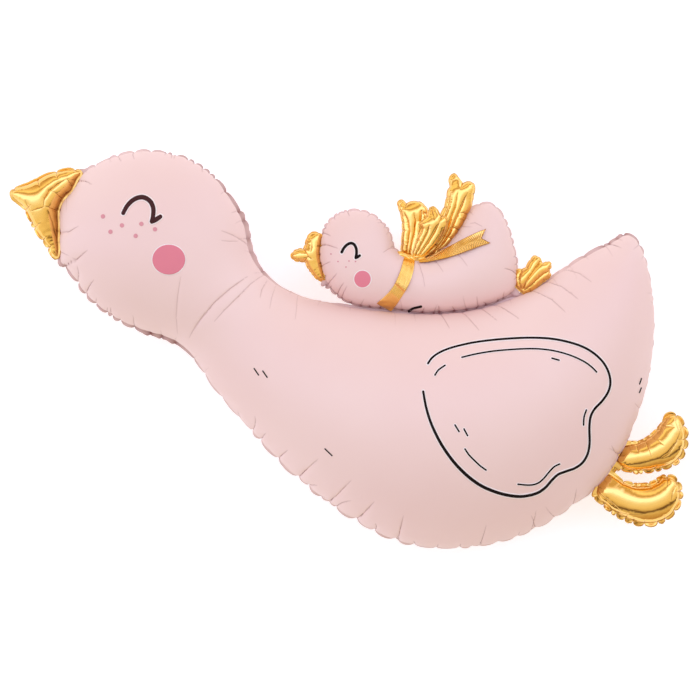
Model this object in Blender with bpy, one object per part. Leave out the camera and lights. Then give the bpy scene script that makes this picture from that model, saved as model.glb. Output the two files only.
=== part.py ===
"""Goose foil balloon with a gosling riding on its back, lying on its side.

Every balloon is two sheets of foil sealed together at a flat border, so each one is a pillow on a
seam plane. The seam planes are level, +X runs from the beak to the feet, +Y from the belly to the
goose's back, and +Z out of the side that is looked at. The origin is under the middle of the whole
object, on the surface that it lies on.

Outlines are drawn on a pattern that is 680 units long for the whole length of the object, with its
corner at the lower left. The drawn line is the outer edge of the sealed border.
"""

import math

import bmesh
import bpy
import numpy as np
from mathutils import Matrix, Vector
from mathutils.bvhtree import BVHTree
from mathutils.geometry import delaunay_2d_cdt

# Sizes in metres
LENGTH = 1.07
PATTERN_LENGTH = 680.0
UNIT = LENGTH / PATTERN_LENGTH

BORDER_THICKNESS = 0.0016
GOOSE_BORDER = 0.006
GOSLING_BORDER = 0.0045
GOLD_BORDER = 0.0045
TRIM_BORDER = 0.002
FLAT_SPOT_DEPTH = 0.025

# Free room between borders that lie on each other, and from a border to the next balloon's seam
LAYER_GAP = 0.0005
SEAM_GAP = 0.0009
# The shortest side that a balloon's loop may have, as a share of its step
LEAST_STEP = 0.3

RIBBON_WIDTH = 0.019
RIBBON_THICKNESS = 0.0008
RIBBON_CLEARANCE = 0.0012
BAND_BOW = 0.009
BAND_END_ROOM = 0.006
KNOT_LENGTH = 0.036
KNOT_WIDTH = 0.008
KNOT_THICKNESS = 0.011
KNOT_TURN_DEG = -14.0

# Height of a pillow as a share of that of a round tube of the same width
PINK_FULLNESS = 0.86
GOLD_FULLNESS = 0.8
LOOP_FULLNESS = 0.62

# Spacing of the points on the borders and inside the sheets
GOOSE_STEP = 0.021
GOSLING_STEP = 0.013
GOLD_STEP = 0.011
TRIM_STEP = 0.006
LOOP_STEP = 0.0092
BAND_STATIONS = 18
BAND_SAMPLES = 80
CURVE_PARTS = 12
SHARP_FOLD_DEG = 50

# Two rings of points follow each seam, where the sheet is steepest, and a lattice fills the rest:
# how far in each ring lies and how near it may come to another stretch of seam, in steps
SEAM_RINGS = ((0.28, 0.2), (0.85, 0.7))
LATTICE_SPACING = 1.15
LATTICE_ROOM = 1.45

# Colour, roughness and metallic value of each finish
PINK_FOIL = ((0.80, 0.56, 0.54), 0.42, 0.15)
GOLD_FOIL = ((0.83, 0.56, 0.16), 0.16, 1.0)

GOOSE_OUTLINE = [
    (77, 381), (88, 387), (101, 393), (122, 399), (141, 400.5), (160, 398.5), (178, 393.5), (196, 383.5),
    (211, 369.5), (224, 351), (233, 336), (239.5, 318), (242, 302), (248, 288), (261, 273), (277, 262),
    (298, 254), (328, 247), (360, 242.5), (395, 239), (430, 238.5), (462, 242), (492, 250), (521, 261),
    (545, 276), (568, 291), (591, 304), (606, 312.5), (616, 317.5), (622, 317), (629, 311), (636, 298),
    (641, 279), (645, 256), (646.5, 232), (645, 202), (641, 174), (633, 144), (621, 114), (604, 83),
    (585, 60), (561, 41), (531, 22), (500, 9.5), (467, 2.5), (434, 0.5), (403, 4), (372, 14), (341, 31),
    (311, 52), (285, 73), (262, 96), (243, 116), (222, 140), (201, 166), (187, 187), (175, 201),
    (160, 210), (140, 216), (124, 221.5), (106, 230), (88, 243), (73, 257.5), (63, 272), (57, 281),
    (51, 285), (48, 291), (49.5, 300), (49, 312), (49, 330), (49.5, 342), (54, 351), (61, 358),
    (67, 367), (70, 376),
]

GOOSE_BEAK_OUTLINE = [
    (1.5, 358), (4, 361.5), (10, 364), (20, 367), (30, 372), (40, 377), (52, 380), (64, 381.5), (72, 380),
    (74.5, 375.5), (70, 366), (64, 356), (57, 349), (52.5, 342), (52, 332), (52, 318), (52.5, 305),
    (52, 296), (48.5, 289), (44, 292), (38, 303), (30, 314), (23, 325), (18, 336), (13, 343), (6, 349),
    (2, 353),
]

GOOSE_FEET_OUTLINE = [
    (613, 109), (628, 108), (640, 114), (652, 126), (655, 133), (661, 137.5), (669, 135), (674, 129),
    (678.5, 117), (678, 104), (673, 91), (664, 84), (652, 80), (640, 77.5), (626, 77), (614, 79),
    (606, 77.5), (612, 71), (622, 67), (634, 66), (644, 68.5), (653, 74), (660, 75.5), (667, 72),
    (673, 62), (673, 52), (669, 41), (661, 32), (651, 26), (638, 24), (624, 26), (610, 32), (600, 39),
    (590, 48), (583, 54), (586, 63), (593, 72), (600, 81), (606, 95),
]

# The blown toes inside the gold feet's flat sheet
UPPER_TOE = [
    (613, 103), (625, 104), (637, 108.5), (648, 118), (655, 128.5), (662, 134), (669, 131), (674, 120),
    (674.5, 106), (670, 94), (662, 87.5), (650, 83.5), (636, 81), (622, 81.5), (610, 87), (608, 95),
]
LOWER_TOE = [
    (597.5, 75), (605, 72), (614, 66.5), (625, 62.5), (636, 62), (647, 65.5), (656, 71), (663, 70.5),
    (669, 62), (669.5, 52), (665, 42), (657, 33.5), (646, 29), (634, 28.5), (620, 32.5), (608, 38.5),
    (597, 47), (589, 56), (591, 66),
]

GOSLING_OUTLINE = [
    (312, 280), (309.5, 292), (310, 305), (313.5, 318), (320, 329), (330, 336.5), (341, 339.5),
    (353, 339), (364, 335), (374, 327), (381, 317), (384.5, 306), (387, 300), (394, 295), (404, 291.5),
    (416, 291), (427, 296), (439, 306.5), (449, 319), (456, 332), (462.5, 341.5), (471, 346),
    (481, 346.5), (488.5, 342), (495, 332), (500.5, 319), (504.5, 304), (508, 288), (509, 274),
    (507, 262), (500, 253.5), (486, 246.5), (468, 241), (446, 237), (424, 235.5), (404, 237), (386, 240),
    (368, 241), (351, 243), (337, 248), (326, 256.5), (317, 267),
]

GOSLING_BEAK_OUTLINE = [
    (282.5, 295), (285.5, 299), (291, 300.5), (295, 302.5), (297, 309), (300.5, 315.5), (305.5, 317.5),
    (310.5, 315), (309, 309), (308, 300), (308, 290), (310, 282), (313, 275), (313.5, 270), (309, 269.5),
    (303, 275), (298, 282), (294, 288), (287, 290),
]

GOSLING_FEET_OUTLINE = [
    (509.5, 281), (517, 284), (522, 290), (526.5, 294.5), (530.5, 292), (533, 287.5), (538, 288),
    (542, 284), (542, 275), (535, 267), (527, 260.5), (519, 256.5), (511, 259), (510.5, 270),
]

LEFT_LOOP_OUTLINE = [
    (393, 300), (392.5, 312), (394, 326), (391.5, 336), (388.5, 343), (390, 349), (394.5, 350.5),
    (399, 347.5), (406, 349), (414, 345), (418.5, 338), (416, 327), (411, 315), (404, 300.5),
]

MIDDLE_LOOP_OUTLINE = [
    (405, 301), (407, 311), (409, 322), (409, 329), (414, 332), (418, 336), (421, 342), (428, 341.5),
    (433, 334.5), (437, 328), (436, 317), (430, 307), (422, 300.5), (412, 299.5),
]

RIGHT_LOOP_OUTLINE = [
    (424, 298.5), (431, 304.5), (438.5, 314), (445, 325), (451.5, 336), (458, 345), (461, 353), (464, 362),
    (463.5, 367.5), (456, 368), (451, 373), (446, 375.5), (441.5, 372), (439.5, 364), (438, 354),
    (434.5, 342), (431, 330), (427, 318), (421, 306.5), (419, 300),
]

RIBBON_TAIL_OUTLINE = [
    (417.5, 293), (428, 297.6), (441, 304), (453, 311.5), (464, 318), (472, 320.2), (477.5, 320.5),
    (474.5, 314), (483, 305), (474, 304.6), (462, 301.5), (446, 296), (432, 291), (420.5, 287.5),
]

KNOT_CENTRE = (403, 295.5)

# Where the band's middle line crosses the neck's upper and lower borders
BAND_TOP = (400.5, 294)
BAND_FOOT = (375, 241)

# The loops of the bow lean out of the seam plane: their height at the knot and at their far end
LEFT_LOOP_RISE = (0.0035, 0.0)
MIDDLE_LOOP_RISE = (0.0150, 0.0290)
RIGHT_LOOP_RISE = (0.0, -0.0040)
LOOP_REACH = 0.12


def clear_scene():
    for obj in list(bpy.data.objects):
        bpy.data.objects.remove(obj, do_unlink=True)


def foil(name, finish):
    """A plain material with one finish's colour, roughness and metallic value."""
    colour, roughness, metallic = finish
    material = bpy.data.materials.new(name)
    material.use_nodes = True
    shader = material.node_tree.nodes["Principled BSDF"]
    shader.inputs["Base Color"].default_value = (*colour, 1.0)
    shader.inputs["Roughness"].default_value = roughness
    shader.inputs["Metallic"].default_value = metallic
    return material


def drawn(points):
    """Points of the pattern in metres."""
    return np.array(points, float) * UNIT


def evenly(line, count):
    """As many evenly spaced points along a closed line."""
    closed = np.vstack([line, line[:1]])
    along = np.concatenate([[0.0], np.cumsum(np.linalg.norm(np.diff(closed, axis=0), axis=1))])
    places = np.arange(count) * along[-1] / count
    return np.column_stack([np.interp(places, along, closed[:, k]) for k in (0, 1)])


def smooth_loop(points, step):
    """Evenly spaced points on a smooth closed curve through the given ones, counter-clockwise."""
    fine = []
    for i in range(len(points)):
        before, start, end, after = (points[(i + k) % len(points)] for k in (-1, 0, 1, 2))
        reach = np.linalg.norm(end - start)
        leave = (end - before) / np.linalg.norm(end - before) * reach
        arrive = (after - start) / np.linalg.norm(after - start) * reach
        for t in np.arange(CURVE_PARTS) / CURVE_PARTS:
            fine.append(
                (2 * t**3 - 3 * t**2 + 1) * start
                + (t**3 - 2 * t**2 + t) * leave
                + (3 * t**2 - 2 * t**3) * end
                + (t**3 - t**2) * arrive
            )
    fine = np.array(fine)
    around = np.linalg.norm(np.roll(fine, -1, axis=0) - fine, axis=1).sum()
    loop = evenly(fine, max(12, round(around / step)))
    x, y = loop.T
    turn = (x * np.roll(y, -1) - np.roll(x, -1) * y).sum()
    return loop if turn > 0 else loop[::-1]


def outward(loop):
    """Unit normals in plan, pointing out of a counter-clockwise loop."""
    tangent = np.roll(loop, -1, axis=0) - np.roll(loop, 1, axis=0)
    normal = np.column_stack([tangent[:, 1], -tangent[:, 0]])
    return normal / np.linalg.norm(normal, axis=1)[:, None]


def measured(points, loop):
    """How far each point is inside the loop, negative outside it, and the nearest place on it."""
    start, edge = loop, np.roll(loop, -1, axis=0) - loop
    away = np.full(len(points), np.inf)
    nearest = np.zeros_like(points)
    inside = np.zeros(len(points), bool)
    for a, e in zip(start, edge):
        t = np.clip(((points - a) @ e) / (e @ e), 0, 1)
        foot = a + t[:, None] * e
        distance = np.linalg.norm(points - foot, axis=1)
        closer = distance < away
        away[closer] = distance[closer]
        nearest[closer] = foot[closer]
        crosses = (a[1] > points[:, 1]) != (a[1] + e[1] > points[:, 1])
        rise = e[1] if e[1] else 1.0
        inside ^= crosses & (points[:, 0] < a[0] + e[0] * (points[:, 1] - a[1]) / rise)
    return np.where(inside, away, -away), nearest


def kept_outside(points, loop, gap):
    """The points, with those that are inside the loop or nearer to it than the gap moved out."""
    depth, nearest = measured(points, loop)
    direction = np.where(depth[:, None] > 0, nearest - points, points - nearest)
    direction /= np.maximum(np.linalg.norm(direction, axis=1), 1e-9)[:, None]
    return np.where((depth > -gap)[:, None], nearest + direction * gap, points)


def sides_cleared(points, loop, gap):
    """The points of a loop, with a side of it moved in where a corner of the other loop is too near."""
    points = points.copy()
    for corner in loop:
        side = np.roll(points, -1, axis=0) - points
        share = np.clip(((corner - points) * side).sum(axis=1) / (side**2).sum(axis=1), 0, 1)
        away = np.linalg.norm(points + share[:, None] * side - corner, axis=1)
        first = away.argmin()
        depth = measured(corner[None], points)[0][0]
        if depth > -gap:
            inward = np.array([-side[first, 1], side[first, 0]]) / np.linalg.norm(side[first])
            for end in (first, (first + 1) % len(points)):
                points[end] += inward * (gap + depth)
    return points


def thinned(points, least):
    """The points of a loop without those that nearly coincide with the one before."""
    return points[np.linalg.norm(points - np.roll(points, 1, axis=0), axis=1) > least]


def fitted(outline, step, border, neighbours):
    """The outer edge and the seam of a balloon whose border may lie on its neighbours' borders.

    The edge stays off the neighbours' blown sheets, and the blown sheet off the neighbours' borders.
    """
    edge = smooth_loop(drawn(outline), step)
    for _, neighbour_seam in neighbours:
        edge = thinned(kept_outside(edge, neighbour_seam, SEAM_GAP), step * LEAST_STEP)
    seam = edge - outward(edge) * border
    for neighbour_edge, _ in neighbours:
        seam = thinned(kept_outside(seam, neighbour_edge, SEAM_GAP), step * LEAST_STEP)
        seam = sides_cleared(seam, neighbour_edge, SEAM_GAP)
    return edge, seam


def lattice(loop, step):
    """Points on a triangular lattice over the loop's box."""
    low, high = loop.min(0), loop.max(0)
    rows = np.arange(low[1], high[1], step * math.sqrt(3) / 2)
    return np.array(
        [(x, y) for n, y in enumerate(rows) for x in np.arange(low[0] + (n % 2) * step / 2, high[0], step)]
    )


def triangulated(points, loops):
    """Triangles over the points, with the loops' edges kept. Each loop is a run of point numbers."""
    edges = [side for loop in loops for side in sides_of(loop)]
    made = delaunay_2d_cdt([Vector(p) for p in points], edges, [], 0, 1e-9)
    return np.array([tuple(face) for face in made[2]])


def sides_of(loop):
    return list(zip(loop, loop[1:] + loop[:1]))


def within(triangles, loop, walls=()):
    """Which triangles are in a loop of point numbers, and in none of the walls, which are loops in it."""
    owner = {}
    for number, (a, b, c) in enumerate(triangles.tolist()):
        owner.update({(a, b): number, (b, c): number, (c, a): number})
    closed = {frozenset(side) for wall in (loop, *walls) for side in sides_of(wall)}
    found = np.zeros(len(triangles), bool)
    waiting = [owner[side] for side in sides_of(loop)]
    while waiting:
        number = waiting.pop()
        if not found[number]:
            found[number] = True
            a, b, c = triangles[number].tolist()
            waiting += [owner[side] for side in ((b, a), (c, b), (a, c)) if frozenset(side) not in closed]
    return found


def sheet_mesh(seam, step):
    """The flat sheet inside a seam, as points and triangles. Its first points are the seam's."""
    parts = [seam]
    for inset, room in SEAM_RINGS:
        ring = seam - outward(seam) * step * inset
        parts.append(ring[measured(ring, seam)[0] > step * room])
    field = lattice(seam, step * LATTICE_SPACING)
    parts.append(field[measured(field, seam)[0] > step * LATTICE_ROOM])
    points = np.vstack(parts)
    loop = list(range(len(seam)))
    triangles = triangulated(points, [loop])
    return points, triangles[within(triangles, loop)]


def blown_height(points, triangles, fixed):
    """Height of an evenly blown sheet that is held along its seam.

    It is the root of twice the membrane's deflection, which gives a round tube on a long strip and an
    ellipsoid on a disc, as two sheets that can't stretch do.
    """
    stiffness = np.zeros((len(points), len(points)))
    load = np.zeros(len(points))
    for tri in triangles:
        opposite = np.roll(points[tri], 1, axis=0) - np.roll(points[tri], -1, axis=0)
        area = abs(opposite[0, 0] * opposite[1, 1] - opposite[0, 1] * opposite[1, 0]) / 2
        stiffness[np.ix_(tri, tri)] += opposite @ opposite.T / (4 * area)
        load[tri] += area / 3
    free = np.arange(fixed, len(points))
    height = np.zeros(len(points))
    height[free] = np.linalg.solve(stiffness[np.ix_(free, free)], load[free])
    return np.sqrt(2 * np.maximum(height, 0))


def put_object(name, vertices, faces, material):
    """A closed mesh object with its faces turned outward and its folds kept sharp."""
    work = bmesh.new()
    verts = [work.verts.new(v) for v in vertices]
    for face in faces:
        work.faces.new([verts[i] for i in face])
    bmesh.ops.recalc_face_normals(work, faces=work.faces)
    mesh = bpy.data.meshes.new(name)
    work.to_mesh(mesh)
    work.free()
    mesh.shade_smooth()
    mesh.set_sharp_from_angle(angle=math.radians(SHARP_FOLD_DEG))
    mesh.materials.append(material)
    obj = bpy.data.objects.new(name, mesh)
    bpy.context.scene.collection.objects.link(obj)
    return obj


def balloon(name, outer, seams, step, fullness, material, rise, flat_spot=0.0):
    """A two-sheet balloon: a flat sheet with its edge wall, blown out inside each seam.

    rise gives the height of the seam plane at each place in plan. flat_spot is how much of the
    underside's depth is pressed flat.
    """
    plan = [outer]
    height = [np.zeros(len(outer))]
    loops = [list(range(len(outer)))]
    blown = []
    for seam in seams:
        first = sum(map(len, plan))
        points, triangles = sheet_mesh(seam, step)
        plan.append(points)
        height.append(fullness * blown_height(points, triangles, len(seam)))
        loops.append(list(range(first, first + len(seam))))
        blown.append(triangles + first)
    plan = np.vstack(plan)
    height = np.concatenate(height)
    held = sum(loops, [])
    edge, *walls = [[held.index(i) for i in loop] for loop in loops]
    border = triangulated(plan[held], [edge, *walls])
    border = np.array(held)[border[within(border, edge, walls)]]
    sheet = [tuple(t) for t in np.vstack([border, *blown])]
    half = BORDER_THICKNESS / 2
    up, down = half + height, -half - height
    down = np.maximum(down, down.min() + flat_spot)
    base = rise(plan)
    count, ring = len(plan), len(outer)
    faces = sheet + [tuple(count + i for i in reversed(t)) for t in sheet]
    faces += [(i, count + i, count + (i + 1) % ring, (i + 1) % ring) for i in range(ring)]
    vertices = np.vstack([np.column_stack([plan, base + up]), np.column_stack([plan, base + down])])
    return put_object(name, vertices, faces, material)


def level(height):
    return lambda plan: np.full(len(plan), height)


def leaning(heights):
    """A seam plane that starts at the knot at the first height and reaches the second at its end."""

    def rise(plan):
        away = np.linalg.norm(plan - drawn(KNOT_CENTRE), axis=1) / LOOP_REACH
        return heights[0] + (heights[1] - heights[0]) * np.minimum(away, 1.0)

    return rise


def surface_over(obj):
    """A function that gives the height of the object's front at places in plan, and 0 beside it."""
    tree = BVHTree.FromObject(obj, bpy.context.evaluated_depsgraph_get())

    def height(x, y):
        hit = tree.ray_cast(Vector((x, y, 1.0)), Vector((0, 0, -1)))[0]
        return 0.0 if hit is None else hit.z

    return height


def ribbon_tail(material, under):
    """The loose end of the ribbon, draped on the gosling's side, with a swallowtail cut."""
    corners = drawn(RIBBON_TAIL_OUTLINE)
    loop = []
    for a, b in zip(corners, np.roll(corners, -1, axis=0)):
        parts = max(1, round(np.linalg.norm(b - a) / LOOP_STEP))
        loop += [a + (b - a) * k / parts for k in range(parts)]
    loop = np.array(loop)
    inner = lattice(loop, LOOP_STEP)
    flat = np.vstack([loop, inner[measured(inner, loop)[0] > LOOP_STEP * 0.45]])
    triangles = triangulated(flat, [list(range(len(loop)))])
    triangles = triangles[measured(flat[triangles].mean(axis=1), loop)[0] > 0]
    reach = (-LOOP_STEP, -LOOP_STEP / 2, 0, LOOP_STEP / 2, LOOP_STEP)
    low = np.array([max(under(x + dx, y + dy) for dx in reach for dy in reach) for x, y in flat]) + LAYER_GAP
    count, ring = len(flat), len(loop)
    vertices = np.vstack([np.column_stack([flat, low]), np.column_stack([flat, low + RIBBON_THICKNESS])])
    faces = [tuple(count + i for i in t) for t in triangles] + [tuple(reversed(t)) for t in triangles]
    faces += [(i, (i + 1) % ring, count + (i + 1) % ring, count + i) for i in range(ring)]
    return put_object("ribbon_tail", vertices, faces, material)


def pulled_taut(places, heights):
    """The heights of a line stretched over the given ones."""
    taut = [0]
    for i in range(1, len(places)):
        while len(taut) > 1:
            a, b = taut[-2:]
            slope_before = (heights[b] - heights[a]) / (places[b] - places[a])
            if (heights[i] - heights[b]) / (places[i] - places[b]) < slope_before:
                break
            taut.pop()
        taut.append(i)
    return np.interp(places, np.array(places)[taut], np.array(heights)[taut])


def ribbon_band(material, under, plane):
    """The ribbon round the gosling's neck, taut over both sides and open where the neck meets the back."""
    top, foot = drawn(BAND_TOP), drawn(BAND_FOOT)
    length = np.linalg.norm(foot - top)
    across = (foot - top) / length
    along = np.array([-across[1], across[0]])
    places = np.linspace(0, length, BAND_SAMPLES)
    rows = []
    for column in (-0.5, -0.25, 0.0, 0.25, 0.5):

        def spot(q):
            sideways = column * RIBBON_WIDTH + BAND_BOW * math.sin(math.pi * min(max(q / length, 0), 1))
            return top + across * q + along * sideways

        surface = pulled_taut(places, [under(*spot(q)) - plane for q in places])
        slope = np.gradient(surface, places)
        away = RIBBON_CLEARANCE / np.sqrt(1 + slope**2)
        q, z = places - slope * away, surface + away
        kept = q < length - BAND_END_ROOM
        q = np.concatenate([[-RIBBON_CLEARANCE], q[kept]])
        z = np.concatenate([[0.0], z[kept]])
        along_arm = np.concatenate([[0.0], np.cumsum(np.hypot(np.diff(q), np.diff(z)))])
        stations = np.linspace(0, along_arm[-1], BAND_STATIONS)
        q, z = np.interp(stations, along_arm, q), np.interp(stations, along_arm, z)
        arm = [(spot(a), b) for a, b in zip(q, z)]
        rows.append(arm[::-1] + [(p, -b) for p, b in arm[1:]])
    inner, outer = [], []
    for row in rows:
        line = np.array([(*p, z + plane) for p, z in row])
        tangent = np.gradient(line, axis=0)
        normal = np.cross(tangent, np.array([*along, 0.0]))
        normal /= np.linalg.norm(normal, axis=1)[:, None]
        if normal[0, 2] < 0:
            normal = -normal
        inner.append(line)
        outer.append(line + normal * RIBBON_THICKNESS)
    width, count = len(rows), len(rows[0])
    vertices = np.vstack(inner + outer)

    def number(layer, column, k):
        return (layer * width + column) * count + k

    def quad(a, b, c, d):
        return (number(*a), number(*b), number(*c), number(*d))

    faces = []
    for column in range(width - 1):
        for k in range(count - 1):
            for layer in (0, 1):
                near, far = (layer, column), (layer, column + 1)
                faces.append(quad((*near, k), (*near, k + 1), (*far, k + 1), (*far, k)))
        for k in (0, count - 1):
            faces.append(quad((0, column, k), (0, column + 1, k), (1, column + 1, k), (1, column, k)))
    for k in range(count - 1):
        for column in (0, width - 1):
            faces.append(quad((0, column, k), (0, column, k + 1), (1, column, k + 1), (1, column, k)))
    return put_object("ribbon_band", vertices, faces, material)


def bow_knot(material, plane):
    """The gathered middle of the bow, a short spindle in front of the neck's border."""
    work = bmesh.new()
    bmesh.ops.create_uvsphere(work, u_segments=12, v_segments=8, radius=0.5)
    bmesh.ops.rotate(work, verts=work.verts, matrix=Matrix.Rotation(math.radians(90), 3, "Y"))
    bmesh.ops.scale(work, verts=work.verts, vec=(KNOT_LENGTH, KNOT_WIDTH, KNOT_THICKNESS))
    bmesh.ops.rotate(work, verts=work.verts, matrix=Matrix.Rotation(math.radians(KNOT_TURN_DEG), 3, "Z"))
    mesh = bpy.data.meshes.new("bow_knot")
    work.to_mesh(mesh)
    work.free()
    mesh.shade_smooth()
    mesh.materials.append(material)
    knot = bpy.data.objects.new("bow_knot", mesh)
    bpy.context.scene.collection.objects.link(knot)
    x, y = drawn(KNOT_CENTRE)
    knot.location = (x, y, plane + KNOT_THICKNESS / 2)
    return knot


def stand_on_origin(pieces):
    """Moves everything so that the origin is under the middle of the object, on the floor."""
    frame = bpy.data.objects.new("balloon_frame", None)
    bpy.context.scene.collection.objects.link(frame)
    for piece in pieces:
        piece.parent = frame
    bpy.context.view_layer.update()
    corners = np.array([tuple(p.matrix_world @ v.co) for p in pieces for v in p.data.vertices])
    low, high = corners.min(0), corners.max(0)
    frame.location = (-(low[0] + high[0]) / 2, -(low[1] + high[1]) / 2, -low[2])


def main():
    clear_scene()
    pink = foil("pink_foil", PINK_FOIL)
    gold = foil("gold_foil", GOLD_FOIL)
    layer = BORDER_THICKNESS + LAYER_GAP

    goose_edge = smooth_loop(drawn(GOOSE_OUTLINE), GOOSE_STEP)
    goose_seam = goose_edge - outward(goose_edge) * GOOSE_BORDER
    by_goose = [(goose_edge, goose_seam)]
    goose = balloon(
        "goose_body", goose_edge, [goose_seam], GOOSE_STEP, PINK_FULLNESS, pink, level(0.0), FLAT_SPOT_DEPTH
    )
    edge, seam = fitted(GOSLING_OUTLINE, GOSLING_STEP, GOSLING_BORDER, by_goose)
    gosling = balloon("gosling_body", edge, [seam], GOSLING_STEP, PINK_FULLNESS, pink, level(layer))
    by_both = by_goose + [(edge, seam)]
    pieces = [goose, gosling]

    edge, seam = fitted(GOOSE_BEAK_OUTLINE, GOLD_STEP, GOLD_BORDER, by_goose)
    pieces.append(balloon("goose_beak", edge, [seam], GOLD_STEP, GOLD_FULLNESS, gold, level(layer)))

    edge, _ = fitted(GOOSE_FEET_OUTLINE, GOLD_STEP, GOLD_BORDER, by_goose)
    toes = [smooth_loop(drawn(toe), GOLD_STEP) for toe in (UPPER_TOE, LOWER_TOE)]
    toes = [kept_outside(toe, goose_edge, SEAM_GAP) for toe in toes]
    pieces.append(balloon("goose_feet", edge, toes, GOLD_STEP, GOLD_FULLNESS, gold, level(-layer)))

    for name, outline in (("gosling_beak", GOSLING_BEAK_OUTLINE), ("gosling_feet", GOSLING_FEET_OUTLINE)):
        edge, seam = fitted(outline, TRIM_STEP, TRIM_BORDER, by_both)
        pieces.append(balloon(name, edge, [seam], TRIM_STEP, GOLD_FULLNESS, gold, level(2 * layer)))

    for name, outline, rise in (
        ("bow_loop_left", LEFT_LOOP_OUTLINE, LEFT_LOOP_RISE),
        ("bow_loop_middle", MIDDLE_LOOP_OUTLINE, MIDDLE_LOOP_RISE),
        ("bow_loop_right", RIGHT_LOOP_OUTLINE, RIGHT_LOOP_RISE),
    ):
        edge, seam = fitted(outline, LOOP_STEP, TRIM_BORDER, by_both)
        pieces.append(balloon(name, edge, [seam], LOOP_STEP, LOOP_FULLNESS, gold, leaning(rise)))

    bpy.context.view_layer.update()
    neck = surface_over(gosling)
    pieces.append(ribbon_tail(gold, neck))
    pieces.append(ribbon_band(gold, neck, layer))
    pieces.append(bow_knot(gold, 4 * layer))
    stand_on_origin(pieces)


main()
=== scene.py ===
"""Goose foil balloon with a gosling on its back: the finish of every piece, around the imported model.

Each balloon is two sheets of film sealed at a flat border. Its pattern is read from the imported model,
blown to the shape that two sheets which can't stretch take, folded where the film along a curved seam
is too long for the place it has left, and then blown again, so that it stands taut between its folds.
"""

import math

import bpy
import numpy as np
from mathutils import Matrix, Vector
from mathutils.bvhtree import BVHTree
from mathutils.geometry import delaunay_2d_cdt
from mathutils.kdtree import KDTree


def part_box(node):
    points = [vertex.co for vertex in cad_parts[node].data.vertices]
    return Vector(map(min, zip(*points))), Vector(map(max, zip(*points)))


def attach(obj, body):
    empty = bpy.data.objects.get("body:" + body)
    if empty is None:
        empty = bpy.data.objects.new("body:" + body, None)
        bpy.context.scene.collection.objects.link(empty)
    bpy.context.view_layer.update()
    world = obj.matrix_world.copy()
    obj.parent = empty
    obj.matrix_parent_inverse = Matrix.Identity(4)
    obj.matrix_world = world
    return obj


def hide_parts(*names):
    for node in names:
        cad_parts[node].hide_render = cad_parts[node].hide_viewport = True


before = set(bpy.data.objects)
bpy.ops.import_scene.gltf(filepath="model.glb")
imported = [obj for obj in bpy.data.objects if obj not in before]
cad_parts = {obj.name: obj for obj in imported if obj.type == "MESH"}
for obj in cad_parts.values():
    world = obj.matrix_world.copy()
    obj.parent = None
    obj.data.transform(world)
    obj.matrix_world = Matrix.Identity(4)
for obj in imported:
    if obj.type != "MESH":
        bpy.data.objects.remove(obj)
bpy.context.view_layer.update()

# Places are given as (across, down) in the view of 700 by 700 units, one unit in metres being:
UNIT = 1.07 / 680
VIEW_SIZE = 700
# The goose's box reaches from this place of the view, at its lower left corner
GOOSE_CORNER = (57.9, 549.4)
# The goose's upper sheet stands this high over its seam plane
GOOSE_CROWN = 0.1394
SEAM_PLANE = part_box("goose_body")[1].z - GOOSE_CROWN
FLOOR_LEVEL = 0.0
# Half the thickness that a sealed border is drawn with
FILM_HALF = 0.0003
MM = 0.001
# Shorter than this, a length counts as none
TINY = 1e-9


def deselect():
    bpy.ops.object.select_all(action="DESELECT")


deselect()
goose_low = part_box("goose_body")[0]


def spot(across, down):
    """A place of the view as x and y in metres."""
    return np.array(
        [
            goose_low.x + (across - GOOSE_CORNER[0]) * UNIT,
            goose_low.y + (GOOSE_CORNER[1] - down) * UNIT,
        ]
    )


def spots(*places):
    return np.array([spot(*p) for p in places])


# The camera looks straight down on the balloon, so that the view's plane is its seam plane
LENS = 100
SENSOR = 36
EYE = Vector((*spot(VIEW_SIZE / 2, VIEW_SIZE / 2), SEAM_PLANE + VIEW_SIZE * UNIT * LENS / SENSOR))


def set_camera():
    data = bpy.data.cameras.new("view")
    data.lens = LENS
    data.sensor_width = SENSOR
    camera = bpy.data.objects.new("view", data)
    camera.location = EYE
    bpy.context.scene.collection.objects.link(camera)
    bpy.context.scene.camera = camera


set_camera()


class Ground:
    """The outside of a piece, felt from the camera, from above and from below."""

    def __init__(self, piece):
        self.tree = BVHTree.FromObject(piece, bpy.context.evaluated_depsgraph_get())

    def seen(self, x, y):
        """Where the ray to a place of the seam plane meets the piece, and the normal there."""
        sight = Vector((x, y, SEAM_PLANE)) - EYE
        hit, normal = self.tree.ray_cast(EYE, sight.normalized())[:2]
        if hit is None:
            return Vector((x, y, SEAM_PLANE)), Vector((0, 0, 1))
        return hit, normal

    def opposite(self, x, y):
        hit, normal = self.tree.ray_cast(Vector((x, y, -1.0)), Vector((0, 0, 1)))[:2]
        if hit is None:
            return Vector((x, y, SEAM_PLANE)), Vector((0, 0, -1))
        return hit, normal

    def top(self, x, y, otherwise=None):
        hit = self.tree.ray_cast(Vector((x, y, 1.0)), Vector((0, 0, -1)))[0]
        return otherwise if hit is None else hit.z

    def foot(self, x, y, otherwise=None):
        hit = self.tree.ray_cast(Vector((x, y, -1.0)), Vector((0, 0, 1)))[0]
        return otherwise if hit is None else hit.z

    def plan(self, places):
        """The view's places as the plan points below where they fall on the piece."""
        return np.array([tuple(self.seen(x, y)[0])[:2] for x, y in spots(*places)])


# Lines in plan

def along_of(line):
    return np.concatenate([[0.0], np.cumsum(np.linalg.norm(np.diff(line, axis=0), axis=1))])


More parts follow.
